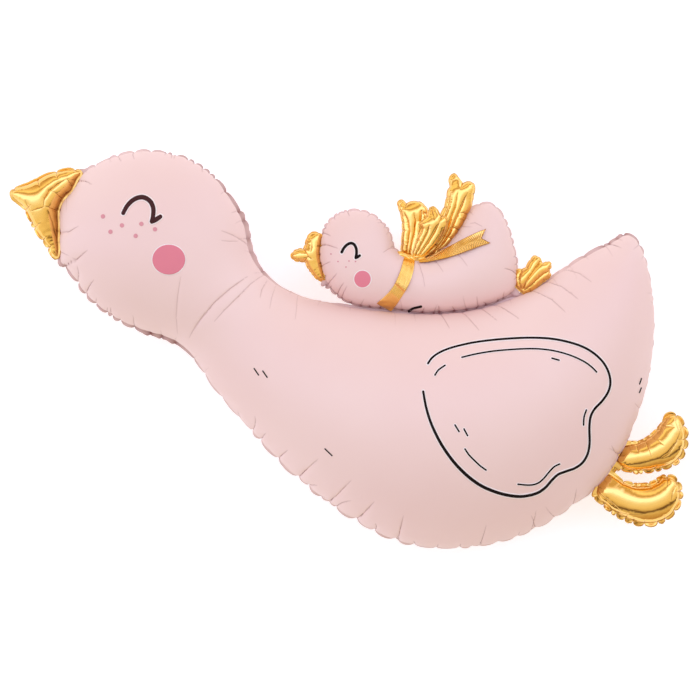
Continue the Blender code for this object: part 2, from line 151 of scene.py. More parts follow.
def rounded(points, closed, parts=16):
    """A smooth line through the points."""
    fine = []
    count = len(points)
    t = (np.arange(parts) / parts)[:, None]
    for i in range(count if closed else count - 1):
        if closed:
            a, b, c, d = (points[(i + k) % count] for k in (-1, 0, 1, 2))
        else:
            a, b, c, d = (points[min(max(i + k, 0), count - 1)] for k in (-1, 0, 1, 2))
        bent = 2 * a - 5 * b + 4 * c - d
        twisted = 3 * b - a - 3 * c + d
        fine.append(0.5 * (2 * b + (c - a) * t + bent * t**2 + twisted * t**3))
    if not closed:
        fine.append(points[-1:])
    return np.vstack(fine)


def evenly(line, step, least=2):
    """Points of an open line at even steps, its ends included."""
    along = along_of(line)
    places = np.linspace(0, along[-1], max(least, round(along[-1] / step) + 1))
    return np.column_stack([np.interp(places, along, line[:, k]) for k in range(line.shape[1])])


def around(loop, step):
    """Evenly spaced points on a smooth closed curve through the loop's."""
    fine = rounded(loop, True)
    return evenly(np.vstack([fine, fine[:1]]), step, 25)[:-1]


def sideways(line):
    """The direction to the left of an open line, at each of its points."""
    along = np.gradient(line, axis=0)
    length = np.maximum(np.linalg.norm(along, axis=1), TINY)
    return np.column_stack([-along[:, 1], along[:, 0]]) / length[:, None]


def unit(direction):
    return direction / np.linalg.norm(direction)


def outward(loop):
    """The direction out of a loop that runs to the left, at each of its points."""
    tangent = np.roll(loop, -1, axis=0) - np.roll(loop, 1, axis=0)
    normal = np.column_stack([tangent[:, 1], -tangent[:, 0]])
    return normal / np.linalg.norm(normal, axis=1)[:, None]


def is_inside(points, loop):
    inside = np.zeros(len(points), bool)
    x, y = points.T
    for (ax, ay), (bx, by) in zip(loop, np.roll(loop, -1, axis=0)):
        if ay != by:
            inside ^= ((ay > y) != (by > y)) & (x < ax + (bx - ax) * (y - ay) / (by - ay))
    return inside


def nearest(points, targets):
    """For each point, the number of the nearest target and the distance to it."""
    tree = KDTree(len(targets))
    for i, (x, y) in enumerate(targets):
        tree.insert((x, y, 0), i)
    tree.balance()
    found = [tree.find((x, y, 0))[1:] for x, y in points]
    return np.array([f[0] for f in found], int), np.array([f[1] for f in found])


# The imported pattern

# Points above each other share a cell of this many to a metre, and a sealed border's two faces are
# this far apart
CELLS = 2e4
BORDER_HEIGHTS = (0.0005, 0.0017)


def chained(links):
    """The closed loops that the links make, as lists of point numbers."""
    left = {a: list(b) for a, b in links.items()}
    loops = []
    while left:
        start = min(left)
        loop = [start]
        while left.get(loop[-1]):
            following = left[loop[-1]].pop()
            if not left[loop[-1]]:
                del left[loop[-1]]
            if loop[-1] in left.get(following, []):
                left[following].remove(loop[-1])
                if not left[following]:
                    del left[following]
            if following == start:
                break
            loop.append(following)
        loops.append(loop)
    return loops


def turned_left(loop):
    x, y = loop.T
    return loop if (x * np.roll(y, -1) - np.roll(x, -1) * y).sum() > 0 else loop[::-1]


def pattern_of(node):
    """A packed balloon's outer edge and its seams, as plan loops, and its seam plane's height."""
    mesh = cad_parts[node].data
    co = np.array([v.co for v in mesh.vertices])
    number = {}
    cells = np.round(co[:, :2] * CELLS).astype(int)
    index = np.array([number.setdefault(tuple(k), len(number)) for k in cells])
    places = np.zeros((len(number), 2))
    places[index] = co[:, :2]
    low, high = np.full(len(number), np.inf), np.full(len(number), -np.inf)
    np.minimum.at(low, index, co[:, 2])
    np.maximum.at(high, index, co[:, 2])
    flat = (high - low > BORDER_HEIGHTS[0]) & (high - low < BORDER_HEIGHTS[1])
    walls, flats = {}, {}
    for face in mesh.polygons:
        a, b, c = (int(i) for i in index[list(face.vertices)])
        ends = sorted({a, b, c})
        if len(ends) == 2:
            walls.setdefault(ends[0], set()).add(ends[1])
            walls.setdefault(ends[1], set()).add(ends[0])
        elif face.normal.z > 0 and flat[ends].all():
            for p, q in ((a, b), (b, c), (c, a)):
                flats[p, q] = True
    edge = max(chained(walls), key=len)
    on_edge = set(edge)
    rims = {}
    for p, q in flats:
        if (q, p) not in flats and not (p in on_edge and q in on_edge):
            rims.setdefault(p, set()).add(q)
            rims.setdefault(q, set()).add(p)
    seams = [turned_left(places[loop]) for loop in chained(rims) if len(loop) > 5]
    rows = np.column_stack([places[edge], np.ones(len(edge))])
    plane = np.linalg.lstsq(rows, ((low + high) / 2)[edge], rcond=None)[0]
    return turned_left(places[edge]), seams, plane


# The folds

# A crease's painted shade, a dark line along the fold where shade would fall: its half width, how
# dark the faintest is, and the fold's depth that adds a whole share to that
CREASE_HALF = 0.65 * MM
FAINTEST_CREASE = 0.12
CREASE_DEPTH = 3.2 * MM
# How far a fold is felt, in its own widths, and how far outside the seam one from the rim starts
FOLD_REACH = 6
FOLD_START = 8 * MM
# How the folds of a rim differ: the spread of their turn and of their swing in radians, the shares
# of the table's length that they take with how often, and the widest that one may be
RIM_TURN = 0.22
RIM_SWING = 0.3
RIM_LENGTHS = [0.45, 0.8, 1.2, 1.9]
RIM_CHANCES = [0.35, 0.35, 0.2, 0.1]
RIM_WIDEST = 5 * MM
# How near a seam point a fold's own start counts as on it
LOBE_ROOM = 6 * MM
# How a fold fades along its line: one from the rim inwards, one in the open at both ends, and one
# that runs through from the rim only close to its end
FADES = {
    "rim": lambda place: (1 - place) ** 1.25,
    "open": lambda place: np.sin(np.pi * place) ** 0.7,
    "through": lambda place: 1 - place**4,
}
NARROWING = {"rim": 0.55, "open": 0.55, "through": 0.0}


class Fold:
    """A valley in the film: its line in plan, its depth and how far its sides reach."""

    def __init__(self, line, depth, width, kind, outside=0.0):
        self.line = line
        self.depth = depth
        self.width = width
        self.kind = kind
        self.from_rim = kind != "open"
        along = along_of(line)
        self.places = np.clip((along - outside) / (along[-1] - outside), 0, 1)

    def depth_at(self, points):
        """How deep the fold is at each of the plan points, and how dark its painted crease shade is there,
        close to its line.
        """
        total, line = np.zeros(len(points)), np.zeros(len(points))
        room = self.width * FOLD_REACH
        close = ((points > self.line.min(0) - room) & (points < self.line.max(0) + room)).all(axis=1)
        near = np.nonzero(close)[0]
        if not len(near):
            return total, line
        p = points[near]
        away = np.full(len(near), np.inf)
        place = np.zeros(len(near))
        for a, b, start, end in zip(self.line, self.line[1:], self.places, self.places[1:]):
            t = np.clip(((p - a) @ (b - a)) / ((b - a) @ (b - a)), 0, 1)
            distance = np.linalg.norm(p - a - t[:, None] * (b - a), axis=1)
            closer = distance < away
            away[closer] = distance[closer]
            place[closer] = (start + (end - start) * t)[closer]
        fade = np.maximum(FADES[self.kind](place), 0)
        spread = self.width * (1 - NARROWING[self.kind] * place)
        total[near] = self.depth * fade * np.exp(-away / spread)
        # The painted crease shade: darkest on the fold's line, fading with the fold
        weight = min(1.0, FAINTEST_CREASE + self.depth / CREASE_DEPTH)
        line[near] = weight * np.sqrt(fade) * np.exp(-((away / CREASE_HALF) ** 2))
        return total, line


class Rim:
    """How the film is gathered along a seam: values given at places, and eased between them."""

    def __init__(self, seam, rows):
        self.seam = seam
        count = len(seam)
        at, _ = nearest(spots(*[r[:2] for r in rows]), seam)
        order = np.argsort(at)
        at = at[order]
        values = np.array([r[2:] for r in rows], float)[order]
        at = np.concatenate([at - count, at, at + count])
        values = np.vstack([values] * 3)
        self.table = np.column_stack(
            [np.interp(np.arange(count), at, values[:, k]) for k in range(values.shape[1])]
        )

    def folds(self, step, rng):
        """The folds of the rim, at uneven spaces."""
        depth, space, length = (self.table[:, k] * MM for k in range(3))
        normal = outward(self.seam)
        folds = []
        place = rng.uniform(0, 1) * space[0]
        total = step * len(self.seam)
        while place < total - space[0] * 0.5:
            i = int(place / step) % len(self.seam)
            tilt = rng.normal(0, RIM_TURN)
            swing = rng.normal(0, RIM_SWING)
            reach = length[i] * rng.choice(RIM_LENGTHS, p=RIM_CHANCES)
            x, y = normal[i]
            line = [self.seam[i] + normal[i] * FOLD_START]
            for share in (0, 0.25, 0.5, 0.75, 1.0):
                angle = tilt + swing * share
                c, s = math.cos(angle), math.sin(angle)
                line.append(self.seam[i] - np.array([x * c - y * s, x * s + y * c]) * reach * share)
            width = min(space[i] * rng.uniform(0.2, 0.32), RIM_WIDEST)
            deep = depth[i] * rng.uniform(0.35, 1.25)
            folds.append(Fold(np.array(line), deep, width, "rim", FOLD_START))
            place += space[i] * rng.uniform(0.6, 1.4)
        return folds


def lobes(seam, folds):
    """Along a seam: 0 at a fold from the rim and 1 halfway between two, and the number of each lobe."""
    at, away = nearest(np.array([fold.line[1] for fold in folds if fold.from_rim]), seam)
    at = np.unique(at[away < LOBE_ROOM])
    at = at[np.concatenate([[True], np.diff(at) > 2])]
    if len(at) < 2:
        return np.ones(len(seam)), np.zeros(len(seam), int)
    at = np.append(at, at[0] + len(seam))
    places = (np.arange(len(seam)) - at[0]) % len(seam) + at[0]
    k = np.searchsorted(at, places, side="right") - 1
    return np.sqrt(np.sin(np.pi * (places - at[k]) / (at[k + 1] - at[k]))), k


# The film

# In steps along the seam: where the rows of points beside a fold's line run, and how close together
# points may be there. The rings inside a seam each stand further in than the last by this share.
FOLD_ROWS = (0, -0.45, 0.45, -1.1, 1.1)
ROW_CELL = 0.4
RING_GROWTH = 1.18


class Film:
    """A flat double sheet: its plan points and triangles. Its sealed points come first."""

    def __init__(self, edge, seams, step, inner_step, folds):
        seam_all = np.vstack(seams)
        near_seam = seam_all[nearest(edge, seam_all)[0]]
        rows = [edge] + [edge + (near_seam - edge) * share for share in (1 / 3, 2 / 3)]
        rows[1:] = [row[np.arange(len(row)) % 2 == k] for k, row in enumerate(rows[1:])]
        self.edge_count = len(edge)
        start = sum(map(len, rows))
        edges = [(i, (i + 1) % len(edge)) for i in range(len(edge))]
        self.runs = []
        for seam in seams:
            rows.append(seam)
            edges += [(start + i, start + (i + 1) % len(seam)) for i in range(len(seam))]
            self.runs.append((start, len(seam)))
            start += len(seam)
        self.sealed = start
        fold_rows = []
        for fold in folds:
            line = evenly(rounded(fold.line[1:] if fold.from_rim else fold.line, False), step * 1.2)
            side = sideways(line)
            fold_rows += [line + side * shift * step for shift in FOLD_ROWS]
        fold_rows = np.vstack(fold_rows) if fold_rows else np.zeros((0, 2))
        cells = np.round(fold_rows / (ROW_CELL * step)).astype(int)
        fold_rows = fold_rows[np.sort(np.unique(cells, axis=0, return_index=True)[1])]
        for seam in seams:
            mine = fold_rows[is_inside(fold_rows, seam)]
            mine = mine[nearest(mine, seam)[1] > step * 0.8]
            rows.append(mine)
            free = []
            reach, gap = 0.0, step * 0.5
            spread = outward(seam)
            while gap < inner_step:
                reach += gap
                ring = (seam - spread * reach)[:: 2 if gap > step * 1.7 else 1]
                away = nearest(ring, seam)[1]
                free.append(ring[(away > reach * 0.96) & is_inside(ring, seam)])
                gap *= RING_GROWTH
            low, high = seam.min(0), seam.max(0)
            field = []
            for n, y in enumerate(np.arange(low[1], high[1], inner_step * math.sqrt(3) / 2)):
                xs = np.arange(low[0] + (n % 2) * inner_step / 2, high[0], inner_step)
                field.append(np.column_stack([xs, np.full(len(xs), y)]))
            field = np.vstack(field)
            field = field[is_inside(field, seam)]
            free.append(field[nearest(field, seam)[1] > reach + gap * 0.7])
            free = np.vstack(free)
            if len(mine):
                free = free[nearest(free, mine)[1] > step * 0.45]
            rows.append(free)
        self.plan = np.vstack(rows)
        made = delaunay_2d_cdt([Vector(p) for p in self.plan], edges, [], 0, 1e-9)
        faces = np.array([tuple(f) for f in made[2]])
        middle = self.plan[faces].mean(axis=1)
        inside = is_inside(middle, edge)
        blown = np.zeros(len(faces), bool)
        for seam in seams:
            blown |= is_inside(middle, seam)
        self.blown_faces = faces[blown & inside]
        self.border_faces = faces[~blown & inside]
        self.seams = seams
        self.step = step


def blown_height(film):
    """Height of an evenly blown sheet held along its seams, by the membrane's deflection."""
    p, faces = film.plan, film.blown_faces
    a, b, c = (p[faces[:, k]] for k in range(3))
    one, other = b - a, c - a
    area = np.abs(one[:, 0] * other[:, 1] - one[:, 1] * other[:, 0]) / 2
    area = np.maximum(area, 1e-12)
    size = len(p)
    load = np.bincount(faces.ravel(), np.repeat(area / 3, 3), size)
    first, second, weight = [], [], []
    for i, j, k in ((0, 1, 2), (1, 2, 0), (2, 0, 1)):
        u, v = p[faces[:, i]] - p[faces[:, k]], p[faces[:, j]] - p[faces[:, k]]
        first.append(faces[:, i])
        second.append(faces[:, j])
        weight.append((u * v).sum(1) / (4 * area))
    first, second, weight = (np.concatenate(x) for x in (first, second, weight))
    diagonal = np.bincount(first, weight, size) + np.bincount(second, weight, size)
    free = np.where(np.arange(size) < film.sealed, 0.0, 1.0)
    free[diagonal <= 0] = 0.0
    diagonal[diagonal <= 0] = 1.0
    x = np.zeros(size)
    left = load * free
    go = left / diagonal
    old = left @ go
    for _ in range(2000):
        pull = weight * (go[first] - go[second])
        push = (np.bincount(first, pull, size) - np.bincount(second, pull, size)) * free
        rate = old / (go @ push)
        x += rate * go
        left = left - rate * push
        aimed = left / diagonal
        new = left @ aimed
        if new < old * 1e-14 or new < 1e-24:
            break
        go = aimed + (new / old) * go
        old = new
    return np.sqrt(2 * np.maximum(x, 0))


def point_normals(x, faces):
    p, q, r = (x[faces[:, k]] for k in range(3))
    face = np.cross(q - p, r - p)
    normal = np.column_stack(
        [sum(np.bincount(faces[:, k], face[:, axis], len(x)) for k in range(3)) for axis in range(3)]
    )
    return normal / np.maximum(np.linalg.norm(normal, axis=1), 1e-15)[:, None]


def gathered(a, b, pull, total):
    """Sum of the pulls at every point: towards b at a, and towards a at b."""
    return np.column_stack(
        [np.bincount(a, pull[:, k], total) - np.bincount(b, pull[:, k], total) for k in range(3)]
    )


def stretch(x, a, b, rest):
    """The sides from points a to points b, and how far each is over its rest length, as a share."""
    d = x[b] - x[a]
    size = np.maximum(np.linalg.norm(d, axis=1), TINY)
    return d, (size - rest) / size


def eased(values, low, high):
    """0 up to the low value, 1 from the high one, and a smooth rise between them."""
    t = np.clip((values - low) / (high - low), 0, 1)
    return t * t * (3 - 2 * t)


# Beside a neighbour the film keeps still: from this far off it starts to move, and from that far it
# moves freely
QUIET_REACH = (2 * MM, 14 * MM)
# How high the film stands where its two sheets fold on their own
SHEETS_PART = 12 * MM
# How much darker a border's painted shade is by its folds than out on its lobes, and how much of a
# fold's own painted crease shade it keeps
LOBE_SHADE = 0.6
BORDER_CREASE = 0.5
# The floor presses the film flat over this height
FLOOR_SOFTNESS = 4 * MM
# How strongly a side that is too long draws in, in each round
DRAW = 1.3


def blown_film(film, options, rims, folds, quiet, plane, rng):
    """The film in space: its sealed points, then the upper sheet's and the lower sheet's.

    The sheets are blown, folded, and then drawn taut in rounds: the sides that are too long pull
    in, the angles between the triangles hold, and the sealed points are drawn back to their start.
    """
    plan, sealed, count = film.plan, film.sealed, len(film.plan)
    inner = count - sealed
    height = blown_height(film) * options["fullness"]
    up, down = np.column_stack([plan, height]), np.column_stack([plan, -height])
    x = np.vstack([up, down[sealed:]])
    to_low = np.where(np.arange(count) < sealed, np.arange(count), np.arange(count) + inner)
    upper, lower = film.blown_faces, to_low[film.blown_faces][:, ::-1]
    skin = np.vstack([upper, lower])
    every = np.vstack([film.border_faces, skin])

    seam_all = np.vstack(film.seams)
    which, away = nearest(plan, seam_all)
    still = np.ones(count)
    for loop in quiet:
        _, distance = nearest(plan, loop)
        distance[is_inside(plan, loop)] = 0
        still = np.minimum(still, eased(distance, *QUIET_REACH))
    depth_up = np.zeros(count)
    depth_low = np.zeros(count)
    # Painted crease shade: each point keeps the darkest of its folds' lines
    crease = np.zeros(count)
    for fold in folds:
        depth, line = fold.depth_at(plan)
        depth_up += depth
        depth_low += depth * (rng.uniform(0.5, 1.0) if fold.from_rim else 0.0)
        crease = np.maximum(crease, line)
    blend = np.clip(height / SHEETS_PART, 0, 1)
    depth_low = depth_up * (1 - blend) + depth_low * blend
    limit = options["deepest"]
    depth_up, depth_low = (limit * np.tanh(d / limit) for d in (depth_up, depth_low))
    normals = point_normals(x, skin)
    outs = np.vstack([outward(seam) for seam in film.seams])[which]
    normals[:sealed] = np.column_stack([outs[:sealed], np.zeros(sealed)])
    depth = np.concatenate([depth_up, depth_low[sealed:]])
    depth[:sealed] *= options["rim_pull"]
    x = x - normals * depth[:, None]
    x[:, :2] += normals[:, :2] * (options["swell"] * np.concatenate([still, still[sealed:]]))[:, None]

    # The border leans about its seam, and stands out in a lobe between each two folds
    seam_start = film.runs[0][0]
    lean, notch, dark = (np.concatenate([rim.table[:, k] for rim in rims]) for k in (3, 4, 5))
    bump, lobe = (np.concatenate(v) for v in zip(*[lobes(seam, folds) for seam in film.seams]))
    curl = rng.uniform(0.4, 1.0, lobe.max() + 1) * rng.choice([1, 1, -1], lobe.max() + 1)
    angle = np.radians(lean + (2 * bump - 1) * curl[lobe] * options["ruffle"])[which] * still
    widen = options["border_grow"] * (1 - notch * (1 - bump))
    band = np.arange(seam_start)
    foot = seam_start + which[band]
    side = plan[band] - seam_all[which[band]]
    length = np.linalg.norm(side, axis=1)
    direction = side / np.maximum(length, TINY)[:, None]
    length *= 1 + (widen[which[band]] - 1) * still[band]
    x[band, :2] = x[foot, :2] + direction * (length * np.cos(angle[band]))[:, None]
    x[band, 2] = x[foot, 2] + length * np.sin(angle[band])
    # The border's painted shade: the rim's darkness, less out on the lobes, or part of the folds' own
    shaded = (dark * (1 - LOBE_SHADE * bump))[which[:sealed]]
    crease[:sealed] = np.maximum(crease[:sealed] * BORDER_CREASE, shaded)

    start = x.copy()
    pairs = np.sort(np.vstack([every[:, [0, 1]], every[:, [1, 2]], every[:, [2, 0]]]), axis=1)
    pairs, where = np.unique(pairs, axis=0, return_inverse=True)
    where = np.asarray(where).ravel()
    a, b = pairs.T
    rest = np.linalg.norm(x[b] - x[a], axis=1)
    tangent = np.column_stack([-outs[:, 1], outs[:, 0]])
    tangent = np.vstack([tangent, tangent[sealed:]])
    run = (tangent[a] + tangent[b]) / 2
    run_share = np.abs(((x[b] - x[a])[:, :2] * run).sum(1)) / np.maximum(rest, TINY)
    surface = np.hypot(away, height)
    spare = options["spare"] * np.exp(-((surface / options["spare_reach"]) ** 2)) * still
    spare = np.concatenate([spare, spare[sealed:]])
    rest = rest * (1 + (spare[a] + spare[b]) / 2 * np.minimum(run_share, 1) ** 2)
    opposite = every[:, [2, 0, 1]].T.ravel()
    order = np.argsort(where, kind="stable")
    same = where[order][1:] == where[order][:-1]
    fold_a, fold_b = opposite[order][:-1][same], opposite[order][1:][same]
    fold_rest = np.linalg.norm(x[fold_b] - x[fold_a], axis=1)
    total = len(x)
    share = 1.0 / np.maximum(np.bincount(a, minlength=total) + np.bincount(b, minlength=total), 1)
    fold_share = np.bincount(fold_a, minlength=total) + np.bincount(fold_b, minlength=total)
    fold_share = 1.0 / np.maximum(fold_share, 1)
    rounds = options["rounds"] // 1
    for turn in range(rounds):
        if turn % 5 == 0:
            normals = point_normals(x, skin)
            normals[:seam_start] = 0
        x = x + normals * options["pressure"]
        d, pull = stretch(x, a, b, rest)
        pull = np.where(pull > 0, pull, pull * options["give"])
        x = x + gathered(a, b, d * pull[:, None], total) * share[:, None] * DRAW
        d, pull = stretch(x, fold_a, fold_b, fold_rest)
        pull = pull * options["stiff"]
        x = x + gathered(fold_a, fold_b, d * pull[:, None], total) * fold_share[:, None]
        x[:sealed] += (start[:sealed] - x[:sealed]) * options["hold"]
    moved = x - start
    far = np.maximum(np.linalg.norm(moved, axis=1), TINY)
    x = start + moved * np.minimum(1, options["cap"] / far)[:, None]
    x[:, 2] += x[:, 0] * plane[0] + x[:, 1] * plane[1] + plane[2]
    lift = FLOOR_LEVEL + FILM_HALF - x[:, 2]
    gentle = np.clip(lift + FLOOR_SOFTNESS, 0, None) ** 2 / (4 * FLOOR_SOFTNESS)
    x[:, 2] += np.where(lift > FLOOR_SOFTNESS, lift, gentle)
    return x, to_low, crease


def mesh_object(name, points, faces, material):
    mesh = bpy.data.meshes.new(name)
    faces = np.asarray(faces, np.int32)
    size = faces.shape[1]
    mesh.vertices.add(len(points))
    mesh.vertices.foreach_set("co", np.asarray(points, np.float32).ravel())
    mesh.loops.add(faces.size)
    mesh.loops.foreach_set("vertex_index", faces.ravel())
    mesh.polygons.add(len(faces))
    mesh.polygons.foreach_set("loop_start", np.arange(0, faces.size, size, dtype=np.int32))
    mesh.update(calc_edges=True)
    mesh.shade_smooth()
    mesh.materials.append(material)
    obj = bpy.data.objects.new(name, mesh)
    bpy.context.scene.collection.objects.link(obj)
    return obj


def closed_film(name, film, x, to_low, crease, material):
    """The film as one closed mesh: the sealed border gets two faces and an edge wall.

    Its points keep their painted crease and border shade, for the material, as their attribute "crease".
    """
    sealed, count, n = film.sealed, len(film.plan), film.edge_count
    lift = point_normals(x, film.border_faces)[:sealed]
    lift = lift * FILM_HALF
    low_start = len(x)
    points = np.vstack([x, x[:sealed] - lift])
    points[:sealed] += lift
    lower = np.where(np.arange(count) < sealed, low_start + np.arange(count), to_low)
    ring = np.arange(n)
    ahead = (ring + 1) % n
    faces = np.vstack(
        [
            film.border_faces,
            film.blown_faces,
            lower[film.border_faces][:, ::-1],
            lower[film.blown_faces][:, ::-1],
            np.column_stack([ring, low_start + ring, low_start + ahead]),
            np.column_stack([ring, low_start + ahead, ahead]),
        ]
    )
    piece = mesh_object(name, points, faces, material)
    every = np.concatenate([crease, crease[sealed:], crease[:sealed]])
    piece.data.attributes.new("crease", "FLOAT", "POINT").data.foreach_set("value", every)
    return piece


# How each kind of film gathers. Lengths in metres, angles in degrees.
PINK_FILM = {
    "fullness": 0.86,
    "deepest": 0.007,
    "swell": 0.0006,
    "rim_pull": 1.0,
    "border_grow": 1.1,
    "ruffle": 16,
    "spare": 0.03,
    "spare_reach": 0.05,
    "pressure": 0.00005,
    "give": 0.35,
    "stiff": 0.15,
    "hold": 0.05,
    "cap": 0.006,
    "rounds": 70,
}
GOLD_FILM = PINK_FILM | {
    "fullness": 0.84,
    "deepest": 0.005,
    "rim_pull": 0.5,
    "border_grow": 1.3,
    "ruffle": 26,
    "spare": 0.05,
    "spare_reach": 0.012,
    "pressure": 0.00004,
    "cap": 0.004,
    "rounds": 60,
}

# Along each seam: place, then the folds' depth, spacing and length in millimetres, the border's lean
# in degrees, up being positive, how far it draws in at a fold, and how dark its painted shade is
# there, as if the border turned back into shadow
GOOSE_RIM = [
    (86, 171, 1.4, 24, 16, -20, 0.3, 0.3), (137, 149, 1.6, 25, 14, -30, 0.3, 0.15),
    (180, 156, 1.3, 17, 9, -52, 0.5, 1.0), (215, 176, 1.4, 16, 9, -50, 0.6, 1.0),
    (236, 204, 1.2, 26, 16, -12, 0.2, 0.9), (250, 245, 0.8, 34, 20, 4, 0.05, 0.5),
    (262, 270, 0.6, 34, 16, -20, 0.05, 0.6), (290, 291, 0.4, 40, 14, -55, 0.1, 0.1),
    (340, 304, 0.3, 40, 12, -65, 0.0, 0.0), (460, 312, 0.4, 40, 14, -20, 0.0, 0.2),
    (560, 271, 0.5, 36, 20, -40, 0.1, 0.1), (600, 247, 0.6, 30, 20, -22, 0.3, 0.7),
    (622, 234, 1.0, 18, 9, -35, 0.4, 1.0), (650, 265, 0.8, 24, 10, -58, 0.3, 0.6),
    (656, 325, 1.0, 18, 7, -54, 0.5, 1.0), (645, 395, 1.0, 26, 10, -56, 0.3, 0.6),
    (631, 425, 1.8, 28, 14, -50, 0.3, 0.15), (570, 510, 2.2, 34, 18, -52, 0.3, 0.15),
    (480, 546, 2.4, 30, 14, -45, 0.3, 0.25), (415, 546, 3.4, 26, 14, -35, 0.4, 0.35),
    (338, 512, 5.0, 32, 16, -32, 0.4, 0.3), (275, 458, 5.0, 34, 16, -32, 0.4, 0.3),
    (240, 421, 2.4, 38, 14, -50, 0.3, 0.2), (200, 370, 0.8, 44, 12, -50, 0.2, 0.3),
    (176, 343, 0.8, 34, 12, -8, 0.2, 0.9), (145, 332, 1.4, 28, 10, 0, 0.3, 0.9),
    (128, 326, 3.4, 24, 10, 4, 0.5, 0.5), (108, 317, 4.6, 23, 13, 6, 0.6, 0.4),
    (88, 303, 4.6, 23, 13, 6, 0.6, 0.35), (72, 279, 4.2, 23, 14, 6, 0.6, 0.35),
    (62, 250, 1.4, 26, 12, -20, 0.2, 0.8), (62, 225, 1.2, 26, 12, -20, 0.2, 0.8),
]
# The gosling's lower rim, where it lies on the goose, gets its darkest painted shade
GOSLING_RIM = [
    (319, 243, 1.8, 13, 9, 0, 0.3, 0.5), (331, 291, 3.2, 11, 11, 0, 0.5, 0.7),
    (355, 306, 2.8, 12, 11, -15, 0.5, 0.9), (415, 313, 1.4, 16, 12, -20, 0.3, 1.0),
    (470, 309, 2.6, 15, 12, -20, 0.5, 1.0), (505, 299, 2.6, 14, 10, -15, 0.5, 0.9),
    (519, 288, 1.8, 15, 8, -15, 0.4, 0.4), (512, 240, 1.9, 15, 7, -25, 0.4, 0.25),
    (498, 208, 1.5, 15, 7, -30, 0.4, 0.3), (472, 209.5, 1.2, 16, 7, -35, 0.3, 0.2),
    (447, 246, 0.4, 24, 10, -50, 0.1, 0.1), (423, 259, 0.4, 24, 12, -50, 0.1, 0.2),
    (396, 251, 1.0, 12, 10, -35, 0.3, 0.3), (390, 236, 1.5, 11, 7, -25, 0.5, 0.25),
    (358, 211, 1.4, 12, 7, -25, 0.4, 0.2), (330, 223, 1.8, 12, 8, -20, 0.5, 0.25),
]

# Long folds that are seen in the open: depth and width in millimetres, then their places
GOOSE_FOLDS = [
    (1.8, 4.0, [(194, 331), (203, 317), (214, 303), (230, 289), (247, 277)]),
    (1.3, 4.0, [(214, 322), (224, 311), (237, 298), (250, 285), (264, 276)]),
    (0.9, 3.5, [(190, 337), (196, 326), (206, 311)]),
    (0.8, 3.5, [(179, 333), (177, 315), (178, 296), (181, 275)]),
    (1.2, 4.0, [(252, 252), (243, 243), (232, 236), (219, 231)]),
    (0.7, 2.5, [(237, 242), (228, 242), (219, 241)]),
    (0.9, 3.0, [(266, 282), (261, 291), (259, 300)]),
    (0.5, 3.0, [(275, 287), (271, 299), (269, 311)]),
    (0.5, 3.0, [(297, 297), (296, 310), (295, 322)]),
    (1.2, 3.5, [(436, 309), (443, 319), (450, 331)]),
    (1.3, 4.0, [(452, 306), (466, 317), (480, 333)]),
    (1.2, 4.0, [(474, 305), (484, 312), (498, 323)]),
    (1.4, 4.0, [(487, 303), (502, 309), (520, 321)]),
    (1.4, 4.0, [(522, 290), (538, 294), (552, 301), (566, 314)]),
    (1.3, 4.0, [(534, 283), (548, 284), (562, 288), (579, 301)]),
    (1.1, 4.0, [(554, 273), (568, 272), (580, 275), (592, 284)]),
]
GOOSE_RIM_FOLDS = [
    (2.4, 3.5, [(79, 182), (86, 182), (94, 186)]),
    (2.2, 3.0, [(61, 234), (70, 232), (81, 226)]),
    (3.2, 3.0, [(67, 266), (78, 259), (90, 249)]),
    (3.6, 3.0, [(82, 302), (88, 290), (96, 278)]),
    (3.0, 3.0, [(113, 324), (113, 314), (112, 305)]),
    (2.4, 3.0, [(115, 151), (118, 156), (122, 164)]),
    (2.0, 3.0, [(172, 149), (172, 155), (171, 161)]),
    (1.8, 3.0, [(249, 214), (238, 212), (229, 214)]),
    (5.0, 4.0, [(293, 483), (304, 472), (320, 457)]),
    (4.6, 4.0, [(324, 506), (337, 495), (353, 478)]),
    (4.6, 4.0, [(350, 525), (364, 513), (376, 499)]),
    (2.6, 3.5, [(397, 548), (400, 531), (404, 513)]),
    (2.2, 3.5, [(478, 551), (481, 540), (486, 522)]),
    (2.4, 3.5, [(530, 540), (532, 525), (535, 508)]),
    (2.4, 3.5, [(568, 518), (572, 502), (575, 486)]),
    (2.0, 3.0, [(622, 455), (614, 452), (609, 444)]),
    (1.8, 3.0, [(645, 415), (638, 410), (632, 402)]),
    (2.2, 4.0, [(600, 240), (612, 246), (622, 250)]),
    (4.6, 3.5, [(254, 447), (262, 438), (268, 431)]),
    (4.2, 3.5, [(272, 466), (281, 456), (290, 448)]),
]
GOSLING_FOLDS = [
    (0.8, 2.2, [(413, 261), (420, 268), (423, 277), (425, 287)]),
    (0.6, 2.0, [(433, 260), (439, 266), (444, 273)]),
    (0.6, 2.0, [(457, 254), (463, 260), (468, 267)]),
    (0.8, 2.2, [(471, 225), (476, 224), (483, 228)]),
]
GOSLING_RIM_FOLDS = [
    (3.2, 1.8, [(324, 294), (330, 283), (339, 272)]),
    (2.6, 1.8, [(315, 271), (323, 266), (333, 261)]),
    (2.4, 1.8, [(314, 247), (328, 245), (340, 249)]),
    (2.2, 1.8, [(317, 233), (326, 234), (333, 237)]),
    (1.8, 1.8, [(400, 249), (389, 249), (381, 254)]),
    (1.8, 1.8, [(346, 206), (348, 214), (350, 219)]),
    (4.0, 1.4, [(439, 318), (439, 310), (438.5, 303)]),
    (2.0, 1.8, [(480, 313), (477, 302), (476, 294)]),
    (2.2, 1.8, [(518, 276), (509, 270), (502, 268)]),
]


